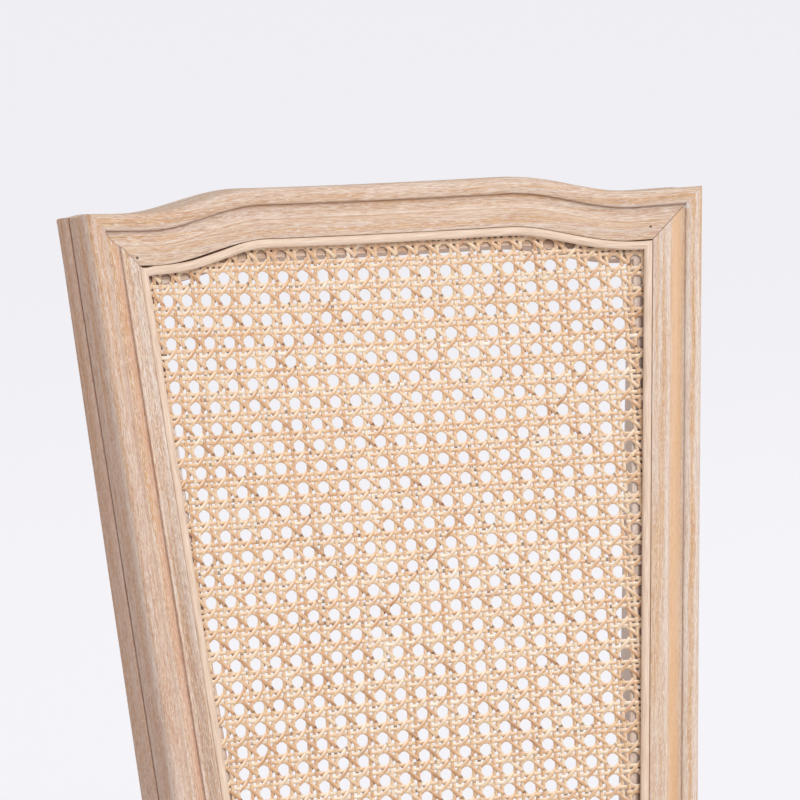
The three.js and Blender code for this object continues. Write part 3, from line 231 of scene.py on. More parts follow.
def frame_section():
    """The frame's section as arrays: t outwards, n forwards, behind (1 where n counts from the rear
    face), outer (1 on the outer side), taken off by the rear round, and corner number on the leg."""
    rows = []

    def put(points, low, high, behind=0, outer=0):
        for (t, n), mark in zip(points, np.linspace(low, high, len(points))):
            rows.append((t, n, behind, outer, FRAME_WIDTH - t if behind and outer else 0, mark))

    put(arc((INNER_ROUND - LEDGE, INNER_ROUND), INNER_ROUND, 270, 180, 6), 0, 1, behind=1)
    put([(-LEDGE, -8), (-LEDGE, -0.6), (-LEDGE + 0.6, 0)], 1.4, 2)
    put([(-8.7, 0), (-6.5, 0), (-LEDGE * 0.2, 0), (-0.25, 0), (0, 0.3)], 2.2, 3)
    put([(0, 2.4), (0, 4.6), (0, FLAT_HEIGHT - 0.9), (0.25, FLAT_HEIGHT - 0.3), (0.85, FLAT_HEIGHT)], 3.2, 4.1)
    put([(3, 6.52), (6.5, 6.55), (10, 6.52), (FLAT - 0.9, 6.45), (FLAT - 0.25, 6.2), (FLAT, 5.7)], 4.3, 5.1)
    put([(13.1, 5.0), (13.5, 4.5), (14.4, 3.95), (15.7, 3.45), (17.2, 3.15), (18.7, 3.1), (20.2, 3.3), (21.7, 3.75),
         (22.9, 4.3), (23.4, 4.55)], 5.5, 8)
    put([(23.55, 5.0), (23.75, 5.75), (24.2, 6.3), (25, 6.7), (26.4, 6.98), (28.2, 7.08), (30, 6.98),
         (31.6, 6.7), (33, 6.2), (34.1, 5.4), (34.9, 4.4), (35.35, 3.3), (35.55, 2.4), (FRAME_WIDTH, 1.4)], 8.2, 13)
    groove = FRAME_WIDTH - GROOVE_DEPTH
    put([(FRAME_WIDTH, -3), (FRAME_WIDTH, -8), (FRAME_WIDTH, -STRIP + 0.5), (FRAME_WIDTH - 0.25, -STRIP),
         (groove, -STRIP - 0.7), (groove, -STRIP - 1.5), (FRAME_WIDTH - 0.25, -STRIP - GROOVE),
         (FRAME_WIDTH, -STRIP - GROOVE - 0.5), (FRAME_WIDTH, -STRIP - GROOVE - 4)], 13.2, 16.4, outer=1)
    put(arc((FRAME_WIDTH - SIDE_ROUND, SIDE_ROUND), SIDE_ROUND, 0, -90, 7), 17, 19, behind=1, outer=1)
    return np.array(rows).T


def crest_reach(section, depth):
    """Where the crest's outer side stands: planed towards level, and without the groove."""
    t, n, behind, outer, taken, _ = section
    top = FRAME_WIDTH - taken + (SHOULDER - n + behind * depth) * CREST_TOP_SLOPE
    return np.where(outer > 0, top, t)


def corner_of(back, section):
    v = back.height + crest_reach(section, back.depths[1])
    return back.edge(v) + section[0] * back.stretch, v


def closeness(section, places, reach):
    """The weight given with each place of the section, falling to 0 over reach millimetres."""
    t, n = section[0], section[1]
    near = [weight * np.exp(-((t - a) ** 2 + (n - b) ** 2) / reach**2) for a, b, weight in places]
    return np.clip(sum(near), 0, 1) * (section[2] == 0)


def nooks(wall, step, quirk):
    """Where painted shade and dirt darken the section: under the reed, at its wall, at the flat's outer step,
    in the quirk of the bead and in the side groove."""
    groove = (FRAME_WIDTH - GROOVE_DEPTH, -STRIP - 1.1, 0.9)
    return (-6.5, 0, 1), (0, 0, wall), (13.2, 4.8, step), (23.5, 4.7, quirk), groove


def mitre_gaps(section):
    """The mitre stands open along the hollow and the flat, and is tight across the outer bead."""
    return np.where((section[0] > -0.5) & (section[0] < 23.6), MITRE_GAP, TIGHT_MITRE)


def corner_ease(section, n):
    """How far the upper outer corner behind the bead is worn down, in millimetres."""
    return sum(most * section[3] * smooth((-n - start) / run) for most, start, run in CORNER_WEAR)


CREST_ENDS = np.array([1, 0.9985, 0.994, 0.985, 0.972, 0.957])
# Painted shade and dirt at wall, step and quirk: darker where a step faces away from the light
CREST_NOOKS, LOWER_NOOKS = nooks(1, 0, 0.75), nooks(1, 0.3, 0.6)
STILE_NOOKS = {-1: nooks(1, 1, 0.1), 1: nooks(0.5, 0, 0.3)}
ARRISES = (
    (0.3, FLAT_HEIGHT, 1), (FLAT - 0.3, FLAT_HEIGHT, 1), (24.2, 6.3, 1),
    (FRAME_WIDTH, SHOULDER, 1), (FRAME_WIDTH, -STRIP + 0.3, 1),
)


# ---------------------------------------------------------------- meshes and pieces


def sheet_mesh(name, rings, coords=(0, 0, 0), marks=(0, 0, 0), looped=False):
    """A closed mesh through rings of points in millimetres. coords are the wood's own directions at each
    point, and marks hold three shares there: painted shade and dirt in a nook, wear on an arris (with a
    painted highlight on the crest), and a warm stain."""
    rings = np.asarray(rings, float)
    count, size = rings.shape[:2]
    index = np.arange(count * size).reshape(count, size)
    below, above = (index, np.roll(index, -1, 0)) if looped else (index[:-1], index[1:])
    faces = np.stack([below, np.roll(below, -1, 1), np.roll(above, -1, 1), above], -1).reshape(-1, 4).tolist()
    if not looped:
        faces += [index[0][::-1].tolist(), index[-1].tolist()]
    mesh = bpy.data.meshes.new(name)
    mesh.from_pydata((rings.reshape(-1, 3) * MM).tolist(), [], faces)
    for key, values in (("grain", coords), ("marks", marks)):
        flat = np.broadcast_to(np.asarray(values, float), rings.shape).reshape(-1)
        mesh.attributes.new(key, "FLOAT_VECTOR", "POINT").data.foreach_set("vector", flat.astype(np.float32))
    facing_out(mesh)
    return mesh


def facing_out(mesh, angle=38.0):
    """Turns a mesh's faces outwards, and keeps its edges sharp above an angle."""
    work = bmesh.new()
    work.from_mesh(mesh)
    bmesh.ops.recalc_face_normals(work, faces=work.faces)
    work.to_mesh(mesh)
    work.free()
    mesh.shade_smooth()
    mesh.set_sharp_from_angle(angle=math.radians(angle))


def placed(name, mesh):
    thing = bpy.data.objects.new(name, mesh)
    bpy.context.scene.collection.objects.link(thing)
    return thing


def evaluated(thing):
    """The mesh that an object's modifiers make."""
    depsgraph = bpy.context.evaluated_depsgraph_get()
    return bpy.data.meshes.new_from_object(thing.evaluated_get(depsgraph))


def places_of(mesh):
    places = np.zeros(len(mesh.vertices) * 3)
    mesh.vertices.foreach_get("co", places)
    return places.reshape(-1, 3)


def piece_of(name, mesh, material, replaced):
    """Puts a finished mesh into the scene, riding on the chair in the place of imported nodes."""
    piece = placed(name, mesh)
    mesh.materials.clear()
    mesh.materials.append(material)
    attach(piece, "root")
    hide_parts(*replaced)
    return piece


# ---------------------------------------------------------------- materials


def linear(code):
    """An sRGB hex colour as Blender's linear one."""
    parts = [int(code[i:i + 2], 16) / 255 for i in (1, 3, 5)]
    return tuple(p / 12.92 if p <= 0.04045 else ((p + 0.055) / 1.055) ** 2.4 for p in parts) + (1.0,)


def add(tree, kind, inputs=(), out=0, stops=(), **settings):
    """Adds one node with its settings, its inputs as values, hex colours or links, and the stops of its
    ramp, and gives the output asked for, or all for None. A kind without its family is a shader node."""
    node = tree.nodes.new(kind if kind.startswith(("Geometry", "NodeGroup")) else f"ShaderNode{kind}")
    for key, value in settings.items():
        setattr(node, key, value)
    for _ in stops[2:]:
        node.color_ramp.elements.new(0.5)
    for element, (place, colour) in zip(node.color_ramp.elements if stops else (), stops):
        element.position = place
        element.color = linear(colour) if isinstance(colour, str) else (colour, colour, colour, 1)
    for key, value in inputs.items() if isinstance(inputs, dict) else enumerate(inputs):
        if isinstance(value, bpy.types.NodeSocket):
            tree.links.new(value, node.inputs[key])
        else:
            coloured = isinstance(value, str) and value.startswith("#")
            node.inputs[key].default_value = linear(value) if coloured else value
    return node.outputs if out is None else node.outputs[out]


def stretched(tree, place, repeats, detail, roughness=0.5):
    """Noise drawn out each way: repeats are per metre, 1000 over the pattern's size in millimetres."""
    drawn = add(tree, "VectorMath", (place, repeats), operation="MULTIPLY")
    return add(tree, "TexNoise", {"Vector": drawn, "Scale": 1.0, "Detail": detail, "Roughness": roughness})


def new_material(name):
    material = bpy.data.materials.new(name)
    material.use_nodes = True
    material.node_tree.nodes.clear()
    return material, material.node_tree


def finished(material, inputs):
    """Ends a material with its shader and its output."""
    tree = material.node_tree
    add(tree, "OutputMaterial", (add(tree, "BsdfPrincipled", inputs),), None)
    return material


def limed_oak(name, seed, stain="#D2AD8C", spots=(), bold=1.0, long=1.0):
    """Oak, planed and moulded, rubbed with white lime and waxed: pale lines in the open pores, soft
    pink-brown and grey bands along the grain, and a low, even gloss. spots are pins and fillings:
    place in millimetres, radius and colour. bold is how strongly the grain shows,
    long how far its lines are drawn out."""
    colours = bpy.context.scene.chair_colours
    material, tree = new_material(name)
    grain, marks = (add(tree, "Attribute", out="Vector", attribute_name=key) for key in ("grain", "marks"))
    nook, arris, stained = add(tree, "SeparateXYZ", (marks,), None)
    shifted = add(tree, "VectorMath", (grain, (seed * 0.731, seed * 0.173, seed * 0.297)), operation="ADD")
    # A slow drift across the board bends the lines of the grain over about 60 mm
    drift = add(tree, "TexNoise", {"Vector": shifted, "Scale": 16.0, "Detail": 2.0}, "Color")
    bent = add(tree, "VectorMath", (drift, (0.0, 0.0045, 0.0045), shifted), operation="MULTIPLY_ADD")

    def streaks(lengthways, across, detail, roughness=0.5):
        return stretched(tree, bent, (lengthways / long, across, across), detail, roughness)

    def layer(under, pattern, stops, over):
        """Lays a colour over another, as thick as a ramp of the pattern says."""
        return add(tree, "MixRGB", (add(tree, "ValToRGB", (pattern,), stops=stops), under, over))

    # Growth bands are 5 mm wide and stripes 1.2 mm. Fibres, pores and checks, 3 to 8 mm long and really
    # 0.1 to 0.3 mm wide, are drawn 0.5 mm wide, as fine as shows
    bands = streaks(2.5, 190, 2.0)
    stripes = streaks(16, 820, 3.0, 0.62)
    fibres = streaks(120, 1900, 2.0, 0.6)
    pores = streaks(330, 2200, 1.0)
    checks = streaks(240, 2200, 1.0)
    patches = streaks(7, 30, 2.0)
    colour = add(tree, "ValToRGB", (bands,), stops=(
        (0.3, "#C59E78"), (0.42, "#D0AC88"), (0.5, colours.oak), (0.58, "#D9C8BB"), (0.7, "#CAB1A2")))
    colour = layer(colour, patches, ((0.45, 0.0), (0.7, 0.4 * bold)), "#C8AA97")
    colour = layer(colour, stripes, ((0.48, 0.0), (0.7, 0.45 * bold)), "#E3DBD8")
    colour = layer(colour, stripes, ((0.3, 0.45 * bold), (0.47, 0.0)), "#C0966C")
    fleck = add(tree, "ValToRGB", (fibres,), stops=((0.3, "#6F665C"), (0.5, "#BDB2A7"), (0.7, "#FFF8F0")))
    colour = add(tree, "MixRGB", (0.36 * bold, colour, fleck), blend_type="OVERLAY")
    colour = layer(colour, pores, ((0.56, 0.0), (0.66, 0.64 * bold)), colours.lime)
    colour = layer(colour, checks, ((0.3, 0.5 * bold), (0.42, 0.0)), "#8F7058")
    # Sap-warm wood shows along some mouldings, where the lime was rubbed off
    colour = add(tree, "MixRGB", (stained, colour, add(tree, "MixRGB", (0.25, stain, colour))))
    # Wear pales the arrises; on the crest the same pale mark is also a painted highlight along its hollow
    rubbed = add(tree, "ValToRGB", (fibres,), stops=((0.35, 0.0), (0.65, 0.6)))
    wear_and_highlight = add(tree, "Math", (arris, rubbed), operation="MULTIPLY")
    colour = add(tree, "MixRGB", (wear_and_highlight, colour, "#E9DBCB"))
    # Painted shade, with some dirt, darkens the nooks that the marks give
    shade_and_dirt = add(tree, "Math", (nook, 0.72), operation="MULTIPLY")
    colour = add(tree, "MixRGB", (shade_and_dirt, colour, "#8B634A"), blend_type="MULTIPLY")
    place = add(tree, "TexCoord", out="Object")
    for centre, radius, shade in spots:
        # The rim of a filling wanders over about 3 mm
        rough = stretched(tree, bent, (360.0,) * 3, 1.0)
        away = add(tree, "VectorMath", (place, [x * MM for x in centre]), "Value", operation="DISTANCE")
        away = add(tree, "Math", (rough, radius * 0.9 * MM, away), operation="MULTIPLY_ADD")
        inside = add(tree, "MapRange", (away, radius * 1.1 * MM, radius * 1.6 * MM, 0.9, 0.0))
        colour = add(tree, "MixRGB", (inside, colour, shade))
    relief = add(tree, "Math", (fibres, checks), operation="ADD")
    return finished(material, {
        "Base Color": colour, "IOR": 1.48, "Coat Weight": 0.05, "Coat Roughness": 0.45,
        "Roughness": add(tree, "MapRange", (fibres, 0.3, 0.7, 0.5, 0.68)),
        "Normal": add(tree, "Bump", {"Height": relief, "Strength": 0.4, "Distance": 0.0005})})


def cane_skin(name):
    """Split rattan skin, woven damp: warm straw with a hard natural gloss, fine lines along it, and
    strands that differ in tone, a few of them scorched brown."""
    colours = bpy.context.scene.chair_colours
    material, tree = new_material(name)
    run, around, tone, shade_and_dirt = (
        add(tree, "Attribute", out="Fac", attribute_name=key) for key in ("run", "round", "tone", "shade_and_dirt"))

    def tinted(under, pattern, ends, over, blend="MIX"):
        """Lays a colour over another where the pattern goes from the first of its ends to the second."""
        return add(tree, "MixRGB", (add(tree, "MapRange", (pattern, *ends)), under, over), blend_type=blend)

    # Fibres 11 mm long, really finer, are drawn 0.6 mm wide to show. Tone drifts along a strand over about
    # 20 mm, and a few stretches about 110 mm long are browner
    place = add(tree, "CombineXYZ", (run, around, tone))
    lines = stretched(tree, place, (90.0, 11.0, 57.0), 3.0, 0.6)
    drift = stretched(tree, place, (55.0, 0.0, 131.0), 2.0)
    scorch = stretched(tree, place, (8.8, 0.0, 222.7), 1.0)
    own = add(tree, "Math", (tone, 0.5, -0.15), operation="MULTIPLY_ADD")
    shade = add(tree, "Math", (drift, 0.8, own), operation="MULTIPLY_ADD")
    colour = add(tree, "ValToRGB", (shade,), stops=(
        (0.1, "#9B724D"), (0.27, "#C79D75"), (0.46, colours.cane), (0.66, "#E2CBB3"), (0.84, "#EADED1")))
    colour = tinted(colour, scorch, (0.66, 0.74, 0.0, 0.55), "#A57A54")
    fine = add(tree, "ValToRGB", (lines,), stops=((0.3, "#8C7358"), (0.55, "#D2C3AE"), (0.72, "#FFF6EA")))
    colour = add(tree, "MixRGB", (0.45, colour, fine), blend_type="OVERLAY")
    # Each strand is painted darker along one edge, painted shade on the side away from the light, and paler along the
    # other, a painted highlight
    turned = add(tree, "Math", (around, 2 * math.pi), operation="MULTIPLY")
    across = add(tree, "Math", (turned,), operation="COSINE")
    colour = tinted(colour, across, (0.4, 1.0, 0.0, 0.7), "#A27C5A", "MULTIPLY")
    colour = tinted(colour, across, (-0.35, -0.9, 0.0, 0.5), "#F6EEE6")
    # Painted shadow, with dirt and split fibres, darkens the places where a strand dives under another
    colour = tinted(colour, shade_and_dirt, (0.4, 0.85, 0.0, 0.8), "#5C4030")
    return finished(material, {
        "Base Color": colour, "IOR": 1.5, "Coat Weight": 0.3, "Coat Roughness": 0.2,
        "Roughness": add(tree, "MapRange", (lines, 0.3, 0.7, 0.3, 0.48)),
        "Normal": add(tree, "Bump", {"Height": lines, "Strength": 0.25, "Distance": 0.0002})})


def split_reed(name):
    """Rattan core, split and sanded: chalky cream with long open fibres and no gloss of its own."""
    material, tree = new_material(name)
    grain = add(tree, "Attribute", out="Vector", attribute_name="grain")
    # Fibres 0.9 mm wide and 20 mm long
    lines = stretched(tree, grain, (50.0, 1100.0, 1100.0), 4.0, 0.65)
    colour = add(tree, "ValToRGB", (lines,), stops=(
        (0.28, "#C0A18A"), (0.42, "#D7BEA8"), (0.55, bpy.context.scene.chair_colours.reed), (0.72, "#EDDDCD")))
    bump = add(tree, "Bump", {"Height": lines, "Strength": 0.4, "Distance": 0.0003})
    return finished(material, {"Base Color": colour, "Roughness": 0.58, "Normal": bump, "IOR": 1.46})


def linen_cloth(name):
    """Plain linen, washed: matt, slubby threads both ways that catch the light at the edge."""
    scene = bpy.context.scene
    material, tree = new_material(name)
    place = add(tree, "TexCoord", out="Object")
    x, y, z = add(tree, "SeparateXYZ", (place,), None)
    # Slubs wander over about 14 mm
    slub = add(tree, "TexNoise", {"Vector": place, "Scale": 70.0, "Detail": 3.0})
    ribs = []
    for axis in (x, y):
        # Threads across an axis, which run on down the sides of the seat
        away = add(tree, "Math", (axis, z), operation="ADD")
        count = add(tree, "Math", (away, 2 * math.pi / (scene.chair_seat.thread * MM)), operation="MULTIPLY")
        wobble = add(tree, "Math", (slub, 2.2, count), operation="MULTIPLY_ADD")
        ribs.append(add(tree, "Math", (wobble,), operation="SINE"))
    woven, ribbed = (add(tree, "Math", ribs, operation=way) for way in ("MULTIPLY", "ADD"))
    relief = add(tree, "Math", (woven, 0.5, ribbed), operation="MULTIPLY_ADD")
    # Thick threads about 1 mm apart and 17 mm long
    thick = stretched(tree, place, (900.0, 60.0, 200.0), 2.0)
    light = add(tree, "MapRange", (relief, -2.2, 2.2, 0.25, 0.7))
    half = add(tree, "Math", (light, 0.5), operation="MULTIPLY")
    value = add(tree, "Math", (thick, 0.5, half), operation="MULTIPLY_ADD")
    colour = add(tree, "ValToRGB", (value,), stops=(
        (0.22, "#BBA998"), (0.38, "#D3C5B6"), (0.5, scene.chair_colours.linen), (0.7, "#F0E9E1")))
    bump = add(tree, "Bump", {"Height": relief, "Strength": 0.5, "Distance": 0.00035})
    return finished(material, {
        "Base Color": colour, "Roughness": 0.9, "Normal": bump, "Sheen Weight": 0.35, "Sheen Roughness": 0.5,
        "Specular IOR Level": 0.3})


def plywood(name):
    """Birch plywood: pale faces with a broad soft figure, and thin dark glue lines round the edge."""
    material, tree = new_material(name)
    place = add(tree, "TexCoord", out="Object")
    # The figure is 11 mm wide and 80 mm long
    figure = add(tree, "VectorMath", (place, (12.0, 90.0, 0.0)), operation="MULTIPLY")
    broad = add(tree, "TexNoise", {"Vector": figure, "Scale": 1.0, "Detail": 4.0, "Distortion": 0.6})
    face = add(tree, "ValToRGB", (broad,), stops=((0.3, "#C29F6E"), (0.5, "#D9BC8E"), (0.7, "#E4CDA6")))
    # Plies 1.8 mm thick
    up = add(tree, "SeparateXYZ", (place,), "Z")
    ply = add(tree, "Math", (up, 2 * math.pi / (1.8 * MM)), operation="MULTIPLY")
    wave = add(tree, "Math", (ply,), operation="SINE")
    glue = add(tree, "Math", (wave, 0.82), operation="GREATER_THAN")
    tilt = add(tree, "SeparateXYZ", (add(tree, "NewGeometry", out="Normal"),), "Z")
    level = add(tree, "Math", (tilt,), operation="ABSOLUTE")
    upright = add(tree, "Math", (level, 0.5), operation="LESS_THAN")
    lined = add(tree, "Math", (glue, upright), operation="MULTIPLY")
    colour = add(tree, "MixRGB", (lined, face, "#8A6238"))
    return finished(material, {"Base Color": colour, "Roughness": 0.7})


# The hidden, plain materials: their texture, its repeats per metre each way and its detail, the stops of
# their colour, the share and depth of their relief, their roughness from dark to pale, and the rest
PLAIN = {
    # Beech, sawn and sanded: even pale brown with short dark flecks 1.4 mm wide, dry and matt
    "sawn_beech": (
        "TexNoise", (60.0, 700.0, 700.0), {"Detail": 3.0},
        ((0.32, "#A87A50"), (0.45, "#C79A6C"), (0.6, "#D6AE82"), (0.75, "#DDBA92")), (0.25, 0.0003), (0.72, 0.72), {}),
    # Zinc plated steel, tumbled and barrel plated: soft grey gloss with a faint bluish mottling of 1.1 mm
    "zinc_plated_steel": (
        "TexNoise", (900.0,) * 3, {"Detail": 2.0}, ((0.35, "#9FA1A3"), (0.65, "#C6C8C6")), (), (0.25, 0.45),
        {"Metallic": 1.0}),
    # Nylon, moulded: cloudy grey-brown over 3 mm with a fine matt skin, scuffed where it stands on the floor
    "moulded_nylon": (
        "TexNoise", (350.0,) * 3, {"Detail": 3.0}, ((0.35, "#7B746A"), (0.65, "#938C80")), (0.2, 0.0002), (0.5, 0.5),
        {"IOR": 1.53}),
    # Black spun dust cloth: flat, fibrous and dull, with tiny lighter specks 2 mm apart
    "dust_cambric": (
        "TexVoronoi", (500.0,) * 3, {}, ((0.1, "#454340"), (0.5, "#2B2A29")), (0.4, 0.0003), (0.95, 0.95), {}),
}


def plain(name):
    """One of the plain materials."""
    kind, repeats, texture, stops, relief, rough, rest = PLAIN[name]
    material, tree = new_material(name)
    place = add(tree, "VectorMath", (add(tree, "TexCoord", out="Object"), repeats), operation="MULTIPLY")
    pattern = add(tree, kind, {"Vector": place, "Scale": 1.0, **texture})
    inputs = {"Base Color": add(tree, "ValToRGB", (pattern,), stops=stops), **rest}
    inputs["Roughness"] = add(tree, "MapRange", (pattern, 0.0, 1.0, *rough))
    if relief:
        inputs["Normal"] = add(tree, "Bump", {"Height": pattern, "Strength": relief[0], "Distance": relief[1]})
    return finished(material, inputs)


def painted_floor(name):
    """The studio's painted floor: plain, pale and matt."""
    material, _ = new_material(name)
    return finished(material, {"Base Color": linear("#F7F6F9"), "Roughness": 0.9, "Specular IOR Level": 0.1})


def material_of(name, make, *args):
    return bpy.data.materials.get(name) or make(name, *args)


# ---------------------------------------------------------------- the moulded frame


# Two pin holes, the pale filling of the right mitre and a reddish rub beside it, in two spots
SPOTS = (
    ((-193.5, 214.4, 978.9), 1.15, "#4A3528"), ((191.1, 216.1, 982.4), 1.15, "#4A3528"),
    ((218.6, 211.0, 996.2), 3.0, "#E2DCD9"),
    ((196.2, 215.0, 979.0), 1.5, "#A8694A"), ((200.0, 214.4, 980.8), 1.4, "#B07658"),
)


def crest_oak():
    return material_of("limed_oak_crest", limed_oak, 3, "#D0A273", SPOTS, 1.25, 2.0)


def section_marks(section, count, warm, places, reach=0.9):
    """Painted shade and dirt, wear and stain round the section, repeated for each ring."""
    ring = stacked(closeness(section, places, reach), closeness(section, ARRISES, 1.0), warm)
    return np.repeat(ring[None], count, 0)


def on_bead(section):
    return smooth((section[0] - 22.5) / 2) * (1 - section[3])


class CHAIR_OT_crest_rail(bpy.types.Operator):
    """Make the moulded crest rail with its raised middle"""

    bl_idname = "chair.crest_rail"
    bl_label = "Crest rail"

    def execute(self, context):
        back = Back()
        section = frame_section()
        reach = crest_reach(section, back.depths[1])
        n = section[1] - section[2] * back.depths[1]
        end = corner_of(back, section)[0] - mitre_gaps(section)
        ease = corner_ease(section, n)
        rings, coords = [], []
        for share in np.concatenate([-CREST_ENDS, np.linspace(-0.94, 0.94, 95), CREST_ENDS[::-1]]):
            s = share * end
            v = back.height + reach + back.swell(s, reach) - ease * smooth((abs(share) - WEAR_START) / WEAR_RUN)
            rings.append(back.at(s, v, n))
            coords.append(stacked(s, v - back.height - 0.6 * back.swell(s, reach), n) * MM)
        # The wood is warm, most at the step of the flat, and a little soiled all over
        marks = section_marks(section, len(rings), 0.22 + 0.34 * hump(section[0], 11.6, 2.0), CREST_NOOKS)
        marks[..., 0] += 0.12
        # A pale line lies in the foot of the hollow: lime, and a painted highlight where the step faces the light
        marks[..., 1] += 2.4 * hump(section[0], 14.8, 0.8) * (section[1] > 0)
        mesh = sheet_mesh("crest_rail_moulded", rings, coords, marks)
        piece_of("crest_rail_moulded", mesh, crest_oak(), ["crest_rail"])
        return {"FINISHED"}


class CHAIR_OT_rear_legs(bpy.types.Operator):
    """Make the two rear legs, which run up into the stiles of the back"""

    bl_idname = "chair.rear_legs"
    bl_label = "Rear legs"

    # Height from which the marks of the back show, over what run, and the depth the grain takes
    MARKS_FOOT, MARKS_RUN, GRAIN_DEPTH = 505, 40, 38

    def execute(self, context):
        back = Back()
        section = frame_section()
        t, n, behind = section[:3]
        corners = self.corners_of(section)
        block_foot, foot_z = RAIL_FOOT - LEG_BLOCK_RISE, GLIDE_HEIGHT + FIT_GAP
        top = corner_of(back, section)[1] - mitre_gaps(section) - corner_ease(section, n - behind * back.depths[1])
        for word, side in SIDES:

            def sliced(v, across):
                """The moulded section at a height of the back."""
                return back.at(side * (back.edge(v) + across * back.stretch), v, n - behind * back.depth(v))

            def squared(z, share=0.0):
                """The plain leg at a height, and at a share of the way from its block to its foot."""
                width = REAR_LEG_WIDTH + (REAR_FOOT_WIDTH - REAR_LEG_WIDTH) * share
                depth = REAR_LEG_DEPTH + (REAR_FOOT_DEPTH - REAR_LEG_DEPTH) * share
                middle_y = back.leg_front + REAR_LEG_DEPTH / 2 + REAR_SPLAY * share**SPLAY_POWER
                x = side * (back.leg_x + (corners[0] - 0.5) * width)
                return stacked(x, middle_y + (0.5 - corners[1]) * depth, z)

            rings = [sliced(top * (1 - share) + POST_START * share, t) for share in np.linspace(0, 1, 61)]
            # Below the back the post loses its ledge, and then turns into the square block
            for share in np.linspace(0, 1, 8)[1:]:
                ledge = 1 - (1 - POST_LEDGE) * float(smooth(share))
                rings.append(sliced(POST_START - POST_TAPER * share, np.where(t < 0, t * ledge, t)))
            post, block = rings[-1], squared(RAIL_TOP + LEG_BLOCK_RISE)
            for share in np.linspace(0, 1, 9)[1:-1]:
                turn = float(smooth(share))
                between = post * (1 - turn) + block * turn
                between[:, 2] = post[:, 2] * (1 - share) + block[:, 2] * share
                rings.append(between)
            rings += [block] + [squared(z) for z in np.linspace(RAIL_TOP, block_foot, 6)]
            for share in np.linspace(0, 1, 31)[1:]:
                rings.append(squared(block_foot + (foot_z - block_foot) * share, share))
            rings = np.array(rings)
            coords = stacked(-along(rings.mean(1))[:, None], t[None], (n - behind * self.GRAIN_DEPTH)[None]) * MM
            marks = section_marks(section, len(rings), self.stain(section, side), STILE_NOOKS[side], 0.6)
            fade = np.clip((rings[:, 0, 2] - self.MARKS_FOOT) / self.MARKS_RUN, 0, 1)
            marks = marks * fade[:, None, None]
            # The left stile's outer side, turned from the light, takes painted shade as well as greyer wood
            if side < 0:
                marks[..., 0] += fade[:, None] * self.shaded_and_greyed(rings, section)
            name = f"rear_leg_{word}_moulded"
            mesh = sheet_mesh(name, rings, coords, marks)
            stain, bold = ("#DDB48A", 0.75) if side > 0 else ("#CB946C", 1.25)
            oak = material_of(f"limed_oak_{word}_stile", limed_oak, 11 + 6 * side, stain, SPOTS, bold)
            piece_of(name, mesh, oak, [f"rear_leg_{word}"])
        return {"FINISHED"}

    def corners_of(self, section):
        """The plain leg's corners that belong to the points of the section, eased."""
        numbers = np.arange(len(LEG_CORNERS) + 1)
        ends = np.vstack([LEG_CORNERS, LEG_CORNERS[:1]])
        points = np.array([np.interp(section[5], numbers, ends[:, i]) for i in (0, 1)])
        for _ in range(2):
            points = (np.roll(points, 1, 1) + 2 * points + np.roll(points, -1, 1)) / 4
        return points

    def stain(self, section, side):
        """The right hollow is warm, and on the left its inner side, the bead and the outer side."""
        if side > 0:
            return hump(section[0], 17.5, 4.2, 4) * (section[1] > 0)
        hollow = 0.75 * hump(section[0], 15.2, 2.2) * (section[1] > 0)
        return hollow + 0.3 * on_bead(section) + 0.45 * section[3]

    def shaded_and_greyed(self, rings, section):
        """The left stile's outer side is darker, with painted shade where it faces away from the light and greyer
        wood, and half way down its flat is greyer.
        """
        run = np.linalg.norm(rings.mean(1) - rings.mean(1)[0], axis=1)
        low = 0.12 + 0.34 * smooth((run - 120) / 120)
        return (0.34 * section[3] + 0.12 * on_bead(section))[None] + low[:, None] * hump(section[0], 6.5, 5, 4)[None]


class CHAIR_OT_lower_back_rail(bpy.types.Operator):
    """Make the lower back rail, lapped over the ledges of the rear legs"""

    bl_idname = "chair.lower_back_rail"
    bl_label = "Lower back rail"

    def execute(self, context):
        back = Back()
        section = frame_section()
        front = section[:, (section[2] == 0) & (section[1] >= 0)]
        rear_round = LOWER_RAIL_ROUND - LOWER_RAIL_DEPTH
        inner = arc((LOWER_RAIL_ROUND - LEDGE, rear_round), LOWER_RAIL_ROUND, 270, 180, 6)
        inner += [(-LEDGE, -8), (-LEDGE, -0.6)]
        outer = [(FRAME_WIDTH, 0.45), (FRAME_WIDTH, 0.15), (FRAME_WIDTH, -8)]
        outer += arc((FRAME_WIDTH - LOWER_RAIL_ROUND, rear_round), LOWER_RAIL_ROUND, 0, -90, 6)
        t, n = np.concatenate([inner, front[:2].T, outer]).T
        end = back.edge(-t) - np.where(n > 0.3, FIT_GAP, LEDGE + FIT_GAP) * back.stretch
        shares = np.linspace(-1, 1, 61)
        rings = [back.at(share * end, -t, n) for share in shares]
        coords = [stacked(share * end, t, n) * MM for share in shares]
        full = np.vstack([t, n, np.zeros_like(t)])
        ring = stacked(closeness(full, LOWER_NOOKS[:4], 0.9), closeness(full, ARRISES[:4], 1.0), 0)
        mesh = sheet_mesh("lower_back_rail_moulded", rings, coords, np.repeat(ring[None], len(rings), 0))
        piece_of("lower_back_rail_moulded", mesh, crest_oak(), ["lower_back_rail"])
        return {"FINISHED"}


# ---------------------------------------------------------------- cane and reed

# Inputs of the node group that bends the strands
STRAND_INPUTS = (
    ("Geometry", "Geometry", None), ("Width", "Float", 0.002), ("Thickness", "Float", 0.001),
    ("Bend radius", "Float", 0.6), ("Sine of rake", "Float", 0.1), ("Cosine of rake", "Float", 1.0),
    ("Foot Y", "Float", 0.0), ("Foot Z", "Float", 0.0), ("Sides", "Int", 8), ("Finish", "Material", None),
)
